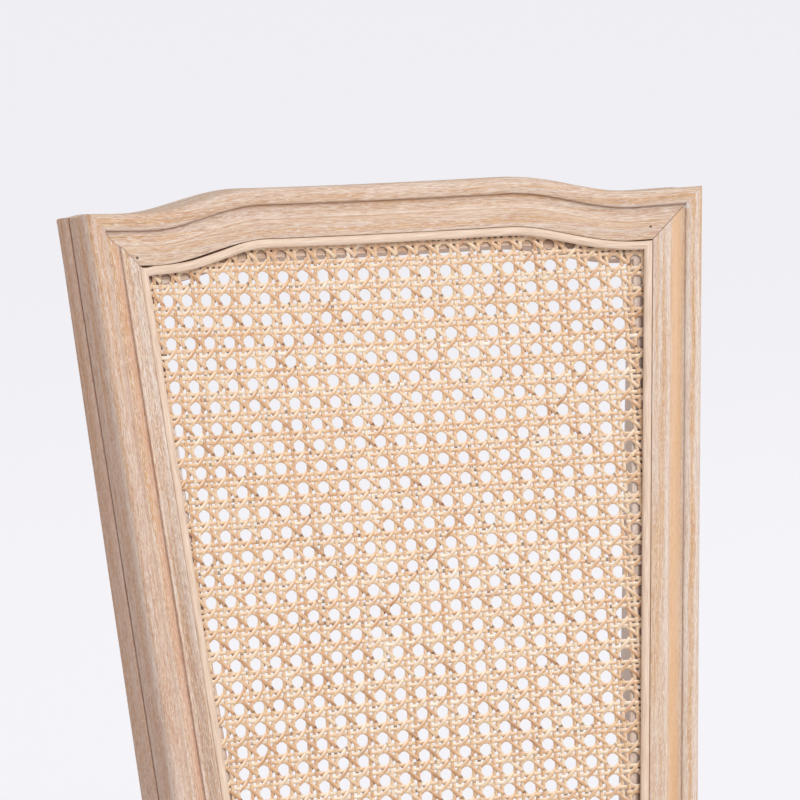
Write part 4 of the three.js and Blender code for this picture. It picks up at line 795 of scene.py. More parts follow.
# The sums that bend a point of the flat net: name, operation and what goes into it
BENDING = (
    ("turn", "DIVIDE", "X", "Bend radius"), ("reach", "SUBTRACT", "Bend radius", "Z"),
    ("sine", "SINE", "turn"), ("cosine", "COSINE", "turn"),
    ("across", "MULTIPLY", "reach", "sine"), ("ahead", "MULTIPLY", "reach", "cosine"),
    ("away", "SUBTRACT", "ahead", "Bend radius"),
    ("back by rake", "MULTIPLY", "Y", "Sine of rake"), ("back by bend", "MULTIPLY", "away", "Cosine of rake"),
    ("back", "ADD", "back by rake", "back by bend"), ("y", "ADD", "Foot Y", "back"),
    ("up by rake", "MULTIPLY", "Y", "Cosine of rake"), ("down by bend", "MULTIPLY", "away", "Sine of rake"),
    ("up", "SUBTRACT", "up by rake", "down by bend"), ("z", "ADD", "Foot Z", "up"),
)


def bending_tree():
    """Sweeps an oval along flat paths, lays it flat, and bends the whole to the chair's back."""
    old = bpy.data.node_groups.get("bent_strands")
    if old:
        return old
    tree = bpy.data.node_groups.new("bent_strands", "GeometryNodeTree")
    for name, kind, value in STRAND_INPUTS:
        socket = tree.interface.new_socket(name, in_out="INPUT", socket_type=f"NodeSocket{kind}")
        if value is not None:
            socket.default_value = value
    tree.interface.new_socket("Geometry", in_out="OUTPUT", socket_type="NodeSocketGeometry")
    given = add(tree, "NodeGroupInput", out=None)
    lines = add(tree, "GeometryNodeMeshToCurve", {"Mesh": given["Geometry"]})
    upright = add(tree, "GeometryNodeSetCurveNormal", {"Curve": lines}, mode="Z_UP")
    wide = add(tree, "GeometryNodeInputNamedAttribute", {"Name": "wide"}, data_type="FLOAT")
    sized = add(tree, "GeometryNodeSetCurveRadius", {"Curve": upright, "Radius": wide})
    ring = add(tree, "GeometryNodeCurvePrimitiveCircle", {"Resolution": given["Sides"], "Radius": 0.5})
    named = {"Geometry": ring, "Name": "round", "Value": add(tree, "GeometryNodeSplineParameter")}
    marked = add(tree, "GeometryNodeStoreNamedAttribute", named, data_type="FLOAT", domain="POINT")
    scale = add(tree, "CombineXYZ", (given["Width"], given["Thickness"], 1.0))
    oval = add(tree, "GeometryNodeTransform", {"Geometry": marked, "Scale": scale})
    swept = add(tree, "GeometryNodeCurveToMesh", {"Curve": sized, "Profile Curve": oval, "Fill Caps": True})
    flat = add(tree, "SeparateXYZ", (add(tree, "GeometryNodeInputPosition"),), None)
    value = {socket.name: socket for socket in (*given, *flat)}
    for name, operation, *inputs in BENDING:
        value[name] = add(tree, "Math", [value[key] for key in inputs], operation=operation)
    place = add(tree, "CombineXYZ", (value["across"], value["y"], value["z"]))
    bent = add(tree, "GeometryNodeSetPosition", {"Geometry": swept, "Position": place})
    real = add(tree, "GeometryNodeRealizeInstances", {"Geometry": bent})
    dressed = add(tree, "GeometryNodeSetMaterial", {"Geometry": real, "Material": given["Finish"]})
    add(tree, "NodeGroupOutput", {"Geometry": dressed}, None)
    return tree


def bent_strands(name, paths, width, thickness, material):
    """One piece from flat paths. Each path is (points in mm, relative widths, tone, painted shadow and dirt at each
    point).
    """
    back = Back()
    points, edges, run, tone, wide, shade_and_dirt = [], [], [], [], [], []
    for path, widths, shade, dive_shadow_and_dirt in paths:
        first = len(points)
        points += (path * MM).tolist()
        edges += [(first + i, first + i + 1) for i in range(len(path) - 1)]
        run += (along(path) * MM + shade * 3).tolist()
        tone += [shade] * len(path)
        wide += np.broadcast_to(widths, len(path)).tolist()
        shade_and_dirt += dive_shadow_and_dirt.tolist()
    mesh = bpy.data.meshes.new(name)
    mesh.from_pydata(points, edges, [])
    for key, values in (("run", run), ("tone", tone), ("wide", wide), ("shade_and_dirt", shade_and_dirt)):
        mesh.attributes.new(key, "FLOAT", "POINT").data.foreach_set("value", np.array(values, np.float32))
    maker = placed(name + "_paths", mesh)
    modifier = maker.modifiers.new("strands", "NODES")
    modifier.node_group = bending_tree()
    values = {
        "Width": width * MM, "Thickness": thickness * MM, "Bend radius": back.bend * MM, "Sine of rake": back.sin,
        "Cosine of rake": back.cos, "Foot Y": back.foot_y * MM, "Foot Z": back.foot_z * MM, "Sides": 8,
        "Finish": material}
    for item in modifier.node_group.interface.items_tree:
        if item.in_out == "INPUT" and item.name in values:
            modifier[item.identifier] = values[item.name]
    bpy.context.view_layer.update()
    made = evaluated(maker)
    bpy.data.objects.remove(maker)
    made.name = name
    facing_out(made, 60)
    piece_of(name, made, material, ["cane_panel"])


class Weave:
    """The flat net: gap (a, b) of the weave, counted from its middle, on the back in millimetres."""

    # Where the middle gap lies, and how far a row tilts and a column leans per gap
    MIDDLE, TILT, SHEAR = (-2.29, 250.45), -0.203, 0.006
    # Least room at a strand's end, where the net is pressed flat at its rim and over what run, and its height
    CLEAR, RIM, RIM_RUN, HEIGHT = 0.8, 4.5, 7, 0.75
    # Usual tone of each set of strands, how much it varies, and the share and tone of dark strands
    UPRIGHT, LEVEL, FALLING, RISING, SPREAD = 0.5, 0.62, 0.37, 0.52, 0.17
    DARK_SHARE, DARK = 0.012, 0.02

    def __init__(self):
        self.cane = bpy.context.scene.chair_cane
        self.back = Back()
        self.rng = np.random.default_rng(self.cane.seed)

    def place(self, a, b):
        s = self.MIDDLE[0] + self.cane.pitch_across * a + self.SHEAR * b
        return s, self.MIDDLE[1] - self.cane.pitch_up * b + self.TILT * a

    def room(self, s, v):
        """How far inside the reed's wall a point lies."""
        back = self.back
        across = (back.edge(v) - np.abs(s)) / back.stretch
        top = back.height + back.swell(s, 0) - v
        return np.minimum(np.minimum(across, top), v)

    def strand(self, a, b, lift, wander, tone, ends, shade_and_dirt):
        """A path through gaps (a, b), kept to the part inside the frame and pressed flat at its rim."""
        rng, cane = self.rng, self.cane
        s, v = self.place(a, b)
        steps = np.arange(len(a))
        # Three slow waves to the side, each of random height and start
        waves = 0
        for k in range(3):
            waves = waves + rng.normal(0, wander / (k + 1)) * np.sin(steps * (0.07 + 0.11 * k) + rng.uniform(0, 6.28))
        heading = np.stack([np.gradient(s), np.gradient(v)])
        heading /= np.linalg.norm(heading, axis=0)
        s, v = s - heading[1] * waves, v + heading[0] * waves
        room = self.room(s, v)
        keep = room > self.CLEAR + ends * rng.uniform(0, 1)
        if keep.sum() < 3:
            return None
        kept = slice(np.argmax(keep), len(keep) - np.argmax(keep[::-1]))
        s, v, room = s[kept], v[kept], room[kept]
        lifted = lift[kept] * (0.45 + 0.55 * smooth((room - self.RIM) / self.RIM_RUN))
        height = FIT_GAP + cane.thickness / 2 + self.HEIGHT + lifted + self.back.bulge(s, v, cane.bulge)
        widths = 1 + rng.normal(0, 0.05) + 0.035 * np.sin(np.arange(len(s)) * 0.31 + rng.uniform(0, 6.28))
        return stacked(s, v, height), widths, tone, shade_and_dirt[kept]

    def tone(self, usual):
        if self.rng.uniform() > self.DARK_SHARE:
            return float(np.clip(self.rng.normal(usual, self.SPREAD), 0.12, 1))
        return self.DARK

    def counts(self):
        across = int(self.back.edge(self.back.height + 20) / self.cane.pitch_across) + 3
        up = int(self.back.height / 2 / self.cane.pitch_up) + 4
        return across, up

    def straight(self, upright):
        """The pairs that run up (or across): over and under their like, and between the slanted ones."""
        across, up = self.counts()
        lines, span = (across, up) if upright else (up, across)
        own, other = (self.cane.pair_across / 2, self.cane.pair_up / 2)[::1 if upright else -1]
        usual = self.UPRIGHT if upright else self.LEVEL
        # Places along one pitch: clear of all, then before, on and after the pair that is crossed
        shares = np.array([0, 0.18, 0.4 - other, 0.5 - other, 0.5, 0.5 + other, 0.6 + other, 0.82])
        rank = np.tile(np.arange(len(shares)), 2 * span)
        swing = np.select([rank == 3, rank == 5, rank == 2, rank == 6], [1.0, -1.0, 0.8, -0.8], 0.0)
        along_line = (np.arange(-span, span)[:, None] + shares).ravel()
        paths = []
        for line in range(-lines, lines + 1):
            for side in (-1, 1):
                fixed = np.full_like(along_line, line + 0.5 + side * own)
                lift = 0.5 * (side if upright else -side) * swing
                a, b = (fixed, along_line) if upright else (along_line, fixed)
                # A few places in the small gap between the two strands of a crossed pair get painted shadow and dirt
                dives = (rank == 4) & (self.rng.uniform(size=len(rank)) < 0.22)
                shade_and_dirt = np.where(dives, self.rng.uniform(0.3, 1, len(rank)), 0)
                paths.append(self.strand(a, b, lift, 0.13, self.tone(usual), 2.5, shade_and_dirt))
        return [path for path in paths if path]

    def slanted(self, falling):
        """The single slanted strands: falling ones pass over the upright pairs, rising ones over the level."""
        across, up = self.counts()
        usual = self.FALLING if falling else self.RISING
        paths = []
        for line in range(-across - up, across + up + 1):
            a = np.arange(-across - 1, across + 1, 0.125) + 0.0625
            b = a - line - 0.5 if falling else line + 0.5 - a
            keep = np.abs(b) < up + 1
            a, b = a[keep], b[keep]
            if len(a) < 8:
                continue
            swing = -np.cos(2 * np.pi * a) * (1 if falling else -1)
            lift = np.sign(swing) * np.abs(swing) ** 0.75
            # Painted shadow and dirt where a slanted strand ends its pass over a pair: every falling one, some rising
            # ones
            dives = np.isclose(a % 1, 0.6875 if falling else 0.1875)
            if not falling:
                dives &= self.rng.uniform(size=len(a)) < 0.3
            shade_and_dirt = np.where(dives, self.rng.uniform(0.35, 1, len(a)), 0)
            paths.append(self.strand(a, b, lift, 0.16, self.tone(usual), 3.5, shade_and_dirt))
        return [path for path in paths if path]


class CHAIR_OT_woven_cane(bpy.types.Operator):
    """Weave the cane strand by strand: upright pairs, level pairs, and one slanted strand each way"""

    bl_idname = "chair.woven_cane"
    bl_label = "Woven cane"

    def execute(self, context):
        weave = Weave()
        cane = weave.cane
        skin = material_of("cane_skin", cane_skin)
        sets = (
            ("cane_uprights", weave.straight(True), cane.strand),
            ("cane_levels", weave.straight(False), cane.strand),
            ("cane_falling", weave.slanted(True), cane.slanted),
            ("cane_rising", weave.slanted(False), cane.slanted),
        )
        for name, paths, width in sets:
            bent_strands(name, paths, width, cane.thickness, skin)
        return {"FINISHED"}


class CHAIR_OT_reeds(bpy.types.Operator):
    """Lay the four mitred lengths of reed that hold the cane in its rabbet"""

    bl_idname = "chair.reeds"
    bl_label = "Reeds"

    def execute(self, context):
        back = Back()
        angles = turns(20)
        t = -0.12 - REED_WIDTH / 2 * (1 - np.cos(angles))
        low = 2 * FIT_GAP + CANE_THICKNESS
        # A power below 1 squares the section off a little
        n = low + REED_HEIGHT / 2 * (1 + np.sign(np.sin(angles)) * np.abs(np.sin(angles)) ** 0.8)
        end = back.edge(back.height + t) + t * back.stretch - REED_MITRE
        rings = []
        for share in np.linspace(-1, 1, 121):
            s = share * (end - 0.3 * smooth((share - 0.9) / 0.1))
            v = back.height + t + back.swell(s, t) - self.sprung(s) - self.wave(share, 0) * 0.16
            rings.append((s, v, n + self.wave(share, 1) * 0.12))
        self.reed("top", rings, back, t, 0.13)
        end = back.edge(-t) + t * back.stretch - REED_MITRE
        rings = [(share * end, -t, n + self.wave(share, 2) * 0.1) for share in np.linspace(-1, 1, 61)]
        self.reed("bottom", rings, back, t, 0.41)
        for word, side in SIDES:
            rings = []
            for share in np.linspace(0, 1, 101):
                v = (REED_MITRE - t) * (1 - share) + (back.height + t - REED_MITRE) * share
                s = back.edge(v) + t * back.stretch - self.wave(share, 3 + side) * 0.14
                rings.append((side * s, v, n + self.wave(share, 5 + side) * 0.1))
            self.reed(word, rings, back, t, 0.7 + 0.1 * side)
        return {"FINISHED"}

    def sprung(self, s):
        """The top length stands off its wall where the crest turns, and a little at both ends."""
        return 1.1 * hump(s, -140, 24, 4) + 1.1 * smooth((-s - 183) / 8) + 0.6 * smooth((s - 170) / 20)

    def wave(self, share, which):
        """A slow unevenness of the hand-laid reed, from 0 to about 1."""
        return 0.5 + 0.5 * noise.noise(Vector((share * 7.3, which * 3.7, 0.5)))

    def reed(self, word, flat, back, t, shift):
        rings = [back.at(*ring) for ring in flat]
        run = along(np.array([ring.mean(0) for ring in rings]))
        coords = stacked(run[:, None] + 1000 * shift, t[None], np.array([ring[2] for ring in flat])) * MM
        mesh = sheet_mesh(f"reed_{word}", rings, coords)
        piece_of(f"reed_{word}", mesh, material_of("split_reed", split_reed), [f"cane_reed_{word}"])


# ---------------------------------------------------------------- legs and rails

# Flutes: how many, points round each, depth, share of its width that is hollow, run of its rounded ends,
# radius of the shaft from which it is cut to its full depth and the least share of that
FLUTES, FLUTE_POINTS, FLUTE_DEPTH, FLUTE_SHARE, FLUTE_END, FLUTE_FULL, FLUTE_LEAST = 12, 12, 2.0, 0.78, 4.5, 17, 0.6
# Shares of the shaft's height between which the flutes run, its radius, and the rounding of the block
FLUTE_FOOT, FLUTE_TOP, SHAFT, BLOCK_ROUND = 0.152, 0.812, 21.0, 2.2
# Share of the shaft's height, and share of its widest radius
SHAFT_PROFILE = np.array([
    (0, 0.44), (0.004, 0.48), (0.012, 0.56), (0.028, 0.59), (0.05, 0.6), (0.068, 0.62), (0.083, 0.7), (0.087, 0.75),
    (0.092, 0.785), (0.099, 0.8), (0.106, 0.81), (0.113, 0.8), (0.12, 0.77), (0.124, 0.7), (0.127, 0.64),
    (0.134, 0.625), (0.142, 0.63), (0.15, 0.635), (0.16, 0.64), (0.8, 0.9), (0.818, 0.905), (0.826, 0.91),
    (0.836, 0.92), (0.841, 0.965), (0.846, 1.005), (0.852, 1.03), (0.858, 1.04), (0.866, 1.03), (0.871, 1.0),
    (0.876, 0.92), (0.88, 0.83), (0.888, 0.795), (0.905, 0.785), (0.922, 0.795), (0.932, 0.83), (0.937, 0.92),
    (0.942, 1.02), (0.948, 1.055), (0.957, 1.07), (0.967, 1.065), (0.974, 1.04), (0.98, 0.99), (0.986, 0.955),
    (1, 0.95),
])
FLUTE_RISES = [*np.linspace(FLUTE_FOOT, FLUTE_TOP, 46), 0.155, 0.158, 0.161, 0.165, 0.795, 0.8, 0.804, 0.808]


class CHAIR_OT_front_legs(bpy.types.Operator):
    """Make the turned, fluted front legs with their square joint blocks"""

    bl_idname = "chair.front_legs"
    bl_label = "Front legs"

    def execute(self, context):
        low, high = FRONT_LEG
        middle = (low + high) / 2
        block_foot = RAIL_FOOT - LEG_BLOCK_RISE
        length = block_foot - low.z
        angles = turns(FLUTES * FLUTE_POINTS)
        inside = ((np.arange(len(angles)) % FLUTE_POINTS) / FLUTE_POINTS - 0.5) * 2
        scoop = np.sqrt(np.clip(1 - (np.abs(inside) / FLUTE_SHARE) ** 2, 0, 1))
        for word, side in SIDES:
            centre = np.array([side * middle.x, middle.y])
            rings, marks = [], []
            for rise in np.unique(np.concatenate([SHAFT_PROFILE[:, 0], FLUTE_RISES])):
                radius = SHAFT * np.interp(rise, SHAFT_PROFILE[:, 0], SHAFT_PROFILE[:, 1])
                nearness = min(rise - FLUTE_FOOT, FLUTE_TOP - rise) * length
                ending = math.sqrt(np.clip(1 - (1 - np.clip(nearness / FLUTE_END, 0, 1)) ** 2, 0, 1))
                cut = FLUTE_DEPTH * scoop * ending * np.clip(radius / FLUTE_FULL, FLUTE_LEAST, 1)
                x, y = centre[0] + (radius - cut) * np.cos(angles), centre[1] + (radius - cut) * np.sin(angles)
                rings.append(stacked(x, y, low.z + rise * length))
                # Painted shade and dirt grow with a flute's depth, and the ridges between the flutes are worn
                marks.append(stacked(cut / FLUTE_DEPTH * 0.35, (1 - scoop) * ending * 0.5, 0))
            shaft = self.turned("shaft", rings, marks)
            block = self.block(centre, (high.x - low.x) / 2, block_foot, high.z)
            name = f"front_leg_{word}_turned"
            oak = material_of("limed_oak_front_legs", limed_oak, 8)
            piece_of(name, self.joined(name, shaft, block), oak, [f"front_leg_{word}"])
        return {"FINISHED"}

    def turned(self, name, rings, marks):
        rings = np.array(rings)
        return sheet_mesh(name, rings, np.roll(rings, 1, -1) * MM, marks)

    def block(self, centre, half, foot, top):
        """The square block, its four upright corners and its ends eased."""
        ring = []
        for quarter, corner in enumerate(((1, 1), (-1, 1), (-1, -1), (1, -1))):
            middle = [sign * (half - BLOCK_ROUND) for sign in corner]
            ring += arc(middle, BLOCK_ROUND, 90 * quarter, 90 * quarter + 90, 5)
        ring = np.array(ring)
        rings, marks = [], []
        for z, shrink in ((foot, 1.4), (foot + 0.4, 0.6), (foot + 1.3, 0), (foot + 20, 0), (foot + 40, 0),
                          (top - 20, 0), (top - 1, 0), (top - 0.3, 0.4), (top, 1.1)):
            scale = (half - shrink) / half
            rings.append(stacked(centre[0] + ring[:, 0] * scale, centre[1] + ring[:, 1] * scale, z))
            marks.append(np.tile((0, 0.5 if shrink else 0.12, 0), (len(ring), 1)))
        return self.turned("block", rings, marks)

    def joined(self, name, *meshes):
        work = bmesh.new()
        for mesh in meshes:
            work.from_mesh(mesh)
        whole = bpy.data.meshes.new(name)
        work.to_mesh(whole)
        work.free()
        facing_out(whole)
        return whole


def rail_section(thick, height):
    """A rail's section with the bead along its foot, which is taller than it is proud."""
    angles = np.radians(np.linspace(-88, 88, 15))
    proud, tall = BEAD_PROUD + RAIL_QUIRK - 0.2, RAIL_BEAD / 2 - 0.3
    face, quirk = thick - RAIL_QUIRK, RAIL_BEAD + RAIL_QUIRK
    bead = [(face + 0.2 + proud * math.cos(a), RAIL_BEAD / 2 + tall * math.sin(a)) for a in angles]
    return np.array([
        (0.4, 0), (face, 0), *bead, (face, RAIL_BEAD + 0.1), (thick - 0.5, quirk - 0.5), (thick, quirk + 0.2),
        (thick, height * 0.4), (thick, height * 0.6), (thick, height * 0.8), (thick, height - 1.5),
        (thick - 0.4, height - 0.5), (thick - 1.3, height), (thick / 2, height), (0.6, height), (0, height - 0.6),
        (0, height / 2), (0, 0.4)])


def front_rail_y(x):
    half = abs(FRONT_LEG[0].x)
    return FRONT_LEG[0].y + RAIL_SETBACK - FRONT_BOW * (1 - (x / half) ** 2)


def side_rail_line(back):
    """Where the outer face of a side rail starts and ends, and its lean."""
    size = FRONT_LEG[1].x - FRONT_LEG[0].x
    front = (FRONT_LEG[1].x - RAIL_SETBACK, FRONT_LEG[0].y + size)
    rear = (back.leg_x + REAR_LEG_WIDTH / 2 - RAIL_SETBACK, back.leg_front)
    return front, rear, (rear[0] - front[0]) / (rear[1] - front[1])


class CHAIR_OT_seat_rails(bpy.types.Operator):
    """Make the four seat rails with the bead along their foot"""

    bl_idname = "chair.seat_rails"
    bl_label = "Seat rails"

    def execute(self, context):
        back = Back()
        u, up = rail_section(RAIL_THICK, RAIL_TOP - RAIL_FOOT).T
        half = abs(FRONT_LEG[0].x) - FIT_GAP
        places = [(x, front_rail_y(x) + RAIL_THICK - u, x) for x in np.linspace(-half, half, 41)]
        self.rail("front_seat_rail", 5, up, u, places)
        front, rear, slope = side_rail_line(back)
        inwards = (RAIL_THICK - u) * math.hypot(1, slope)
        for word, side in SIDES:
            places = []
            for y in np.linspace(front[1] + FIT_GAP, rear[1] - FIT_GAP, 15):
                x = front[0] + (y - front[1]) * slope
                places.append((side * (x - inwards), y, y))
            self.rail(f"side_seat_rail_{word}", 14 + side, up, u, places)
        u, up = rail_section(REAR_RAIL_THICK, RAIL_TOP - RAIL_FOOT).T
        half = back.leg_x - REAR_LEG_WIDTH / 2 - FIT_GAP
        self.rail("rear_seat_rail", 6, up, u, [(x, REAR_RAIL_Y + u, x) for x in np.linspace(-half, half, 15)])
        return {"FINISHED"}

    def rail(self, node, seed, up, u, places):
        """A rail through places along it: x and y of its section, and how far along the grain."""
        # Painted shade and dirt in the quirk over the bead, and wear on the top arris, lie on the same points of every
        # section
        out, height = rail_section(RAIL_THICK, RAIL_TOP - RAIL_FOOT).T
        nook = hump(out, RAIL_THICK - RAIL_QUIRK, 0.8) * hump(height, RAIL_BEAD, 1.0)
        arris = hump(height, RAIL_TOP - RAIL_FOOT, 1.2) * (out > RAIL_THICK - 3)
        rings = [stacked(x, y, RAIL_FOOT + up) for x, y, _ in places]
        coords = [stacked(run, up, u) * MM for _, _, run in places]
        mesh = sheet_mesh(node + "_beaded", rings, coords, stacked(nook, arris, 0))
        oak = material_of(f"limed_oak_{node}", limed_oak, seed)
        piece_of(node + "_beaded", mesh, oak, [node])


# ---------------------------------------------------------------- upholstery

SEAT_INSET, SEAT_NOTCH, DUST_INSET, COVER = 9.0, 10.0, 14.0, 1.6


def seat_outline(back, inset, steps=24):
    """Outline of the seat at an inset from the rails' outer faces, in millimetres."""
    front, _, slope = side_rail_line(back)
    notch_y = back.leg_front - SEAT_NOTCH - inset + SEAT_INSET
    rear_x = back.leg_x - REAR_LEG_WIDTH / 2 - SEAT_NOTCH - inset + SEAT_INSET
    rear_y = REAR_RAIL_Y + REAR_RAIL_THICK - inset
    front_x = front[0] - inset
    first_y = front_rail_y(front_x) + inset
    points = [(x, front_rail_y(x) + inset) for x in np.linspace(0, front_x, steps)[:-1]]
    points += [(front[0] + (y - front[1]) * slope - inset, y) for y in np.linspace(first_y, notch_y, steps)]
    points += [(rear_x, notch_y), (rear_x, (notch_y + rear_y) / 2), (rear_x, rear_y)]
    points += [(x, rear_y) for x in np.linspace(rear_x, 0, steps // 2)[1:]]
    right = np.array(points)
    left = right[1:-1][::-1] * (-1, 1)
    return np.vstack([right, left])


def rounded_outline(outline, spacing, radius):
    """The outline with points a spacing apart and its corners rounded."""
    closed = np.vstack([outline, outline[:1]])
    run = along(closed)
    count = int(run[-1] / spacing)
    at = np.arange(count) / count * run[-1]
    points = np.stack([np.interp(at, run, closed[:, i]) for i in (0, 1)], -1)
    for _ in range(int((radius / spacing) ** 2)):
        points = (np.roll(points, 1, 0) + 2 * points + np.roll(points, -1, 0)) / 4
    return points


class CHAIR_OT_seat_cushion(bpy.types.Operator):
    """Fill the seat's cover over the foam, as a cloth under pressure"""

    bl_idname = "chair.seat_cushion"
    bl_label = "Seat cushion"

    FOOT = SEAT_BOARD[0].z - 0.25
    # Share of the way from the middle, millimetres outwards from that, and share of the rise
    SHAPE = (
        (1.0, 2.4, 0.07), (1.0, 2.4, 0.28), (1.0, 1.0, 0.35), (0.99, -0.5, 0.42), (0.965, -0.5, 0.49), (0.92, 0, 0.56),
        (0.85, 0, 0.63), (0.75, 0, 0.69), (0.62, 0, 0.745), (0.48, 0, 0.79), (0.32, 0, 0.825), (0.14, 0, 0.845),
    )
    # Size of the even squares, and how far the air may push the cover, in metres
    VOXEL, MOST = 0.006, 0.0095
    # Frames of cloth, millimetres of the cover's foot that are held, and rounds of evening
    FRAMES, HELD, EVENING = 20, 7.0, 14

    def execute(self, context):
        seat = context.scene.chair_seat
        back = Back()
        tight, base = (rounded_outline(seat_outline(back, SEAT_INSET), 6.0, radius) for radius in (5.0, 12.0))
        middle = np.array([0.0, base[:, 1].mean()])
        rings = []
        # The cover starts below the board's foot, and its corners round off upwards
        for share, out, z in ((1.0, 2.4, (self.FOOT - RAIL_TOP) / seat.rise), *self.SHAPE):
            turned = smooth((z - 0.25) / 0.3)
            arm = tight * (1 - turned) + base * turned - middle
            length = np.linalg.norm(arm, axis=1, keepdims=True)
            point = middle + arm * (length * share + out - 0.8) / length
            rings.append(stacked(*point.T, RAIL_TOP + z * seat.rise))
        cushion = placed("seat_cushion", sheet_mesh("seat_cushion", rings))
        start = self.remeshed(cushion)
        self.filled(cushion, start, seat.pressure)
        level = cushion.modifiers.new("rounder", "SUBSURF")
        level.levels = level.render_levels = 1
        final = evaluated(cushion)
        bpy.data.objects.remove(cushion)
        self.drawn_round(final, back, middle)
        facing_out(final, 180)
        linen = material_of("linen_cloth", linen_cloth)
        piece = piece_of("seat_cushion_cover", final, linen, ["seat_cover", "seat_foam"])
        return {"FINISHED"}

    def remeshed(self, cushion):
        """Gives the cushion even squares, and their places before it is filled."""
        voxel = cushion.modifiers.new("even", "REMESH")
        voxel.mode, voxel.voxel_size = "VOXEL", self.VOXEL
        bpy.context.view_layer.update()
        made = evaluated(cushion)
        cushion.modifiers.clear()
        cushion.data = made
        return places_of(made)

    def filled(self, cushion, start, pressure):
        """Blows the cover up as a cloth held at its foot, and keeps the part of that which foam allows."""
        held = cushion.vertex_groups.new(name="held")
        low = (self.FOOT + self.HELD) * MM
        held.add([i for i, co in enumerate(start) if co[2] < low], 1.0, "REPLACE")
        cloth = cushion.modifiers.new("cloth", "CLOTH")
        settings = cloth.settings
        for key, value in (
                ("quality", 5), ("mass", 0.25), ("tension_stiffness", 12), ("compression_stiffness", 12),
                ("shear_stiffness", 6), ("bending_stiffness", 1.5), ("use_pressure", True),
                ("uniform_pressure_force", pressure), ("vertex_group_mass", "held")):
            setattr(settings, key, value)
        settings.effector_weights.gravity = 0
        cloth.collision_settings.use_collision = False
        scene = bpy.context.scene
        for number in range(1, self.FRAMES + 1):
            scene.frame_set(number)
        moved = places_of(cushion.evaluated_get(bpy.context.evaluated_depsgraph_get()).data)
        cushion.modifiers.clear()
        scene.frame_set(1)
        shift = self.evened(cushion.data, moved - start)
        length = np.linalg.norm(shift, axis=1, keepdims=True)
        shift *= self.MOST * np.tanh(length / self.MOST) / np.maximum(length, 1e-9)
        final = start + shift * (0.55, 0.55, 1.0)
        final[:, 2] = np.maximum(final[:, 2], self.FOOT * MM)
        cushion.data.vertices.foreach_set("co", final.ravel())
        cushion.data.update()

    def evened(self, mesh, shift):
        """The stuffing evens out the movement of the cloth over about 30 mm."""
        ends = np.zeros(len(mesh.edges) * 2, int)
        mesh.edges.foreach_get("vertices", ends)
        first, second = ends.reshape(-1, 2).T
        count = np.bincount(ends, minlength=len(shift))[:, None]
        for _ in range(self.EVENING):
            total = np.zeros_like(shift)
            np.add.at(total, first, shift[second])
            np.add.at(total, second, shift[first])
            shift = 0.5 * shift + 0.5 * total / count
        return shift

    def drawn_round(self, mesh, back, middle):
        """Below the foam the cover is drawn round the edge of the board, outside it on every side."""
        arms = rounded_outline(seat_outline(back, SEAT_INSET - COVER), 1.0, 1.0) - middle
        angles, order = np.unique(np.arctan2(arms[:, 1], arms[:, 0]), return_index=True)
        places = places_of(mesh) / MM
        normals = np.array([vertex.normal.z for vertex in mesh.vertices])
        own = places[:, :2] - middle
        length = np.linalg.norm(own, axis=1)
        reach = np.linalg.norm(arms, axis=1)[order]
        least = np.interp(np.arctan2(own[:, 1], own[:, 0]), angles, reach, period=2 * math.pi)
        top = SEAT_BOARD[1].z
        # From 1 mm above the board the cover comes in again, 1.2 mm for each mm up
        least -= 1.2 * np.maximum(places[:, 2] - top - 1, 0)
        side = (np.abs(normals) < 0.8) & (places[:, 2] < top + 9) & (length < least)
        places[side, :2] = middle + own[side] * (least[side] / length[side])[:, None]
        mesh.vertices.foreach_set("co", (places * MM).ravel())
        mesh.update()


class CHAIR_OT_welt(bpy.types.Operator):
    """Sew the welt round the foot of the cushion"""

    bl_idname = "chair.welt"
    bl_label = "Welt"

    def execute(self, context):
        radius, spacing = context.scene.chair_seat.welt / 2, 4.0
        outline = rounded_outline(seat_outline(Back(), SEAT_INSET - COVER - FIT_GAP - radius), spacing, 10.0)
        ahead = np.roll(outline, -1, 0) - np.roll(outline, 1, 0)
        normal = np.column_stack([ahead[:, 1], -ahead[:, 0]])
        normal /= np.linalg.norm(normal, axis=1, keepdims=True)
        angles = turns(14)
        rings = []
        for point, out, at in zip(outline, normal, np.arange(len(outline)) * spacing):
            # Hand sewn, the welt's thickness varies by a few parts in a hundred
            swell = radius * (1 + 0.03 * math.sin(at * 0.11) + 0.02 * math.sin(at * 0.37))
            ring = point + np.outer(np.cos(angles) * swell, out)
            rings.append(stacked(*ring.T, RAIL_TOP + FIT_GAP + radius + np.sin(angles) * swell))
        mesh = sheet_mesh("seat_welt_sewn", rings, looped=True)
        piece_of("seat_welt_sewn", mesh, material_of("linen_cloth", linen_cloth), ["seat_welt"])
        return {"FINISHED"}


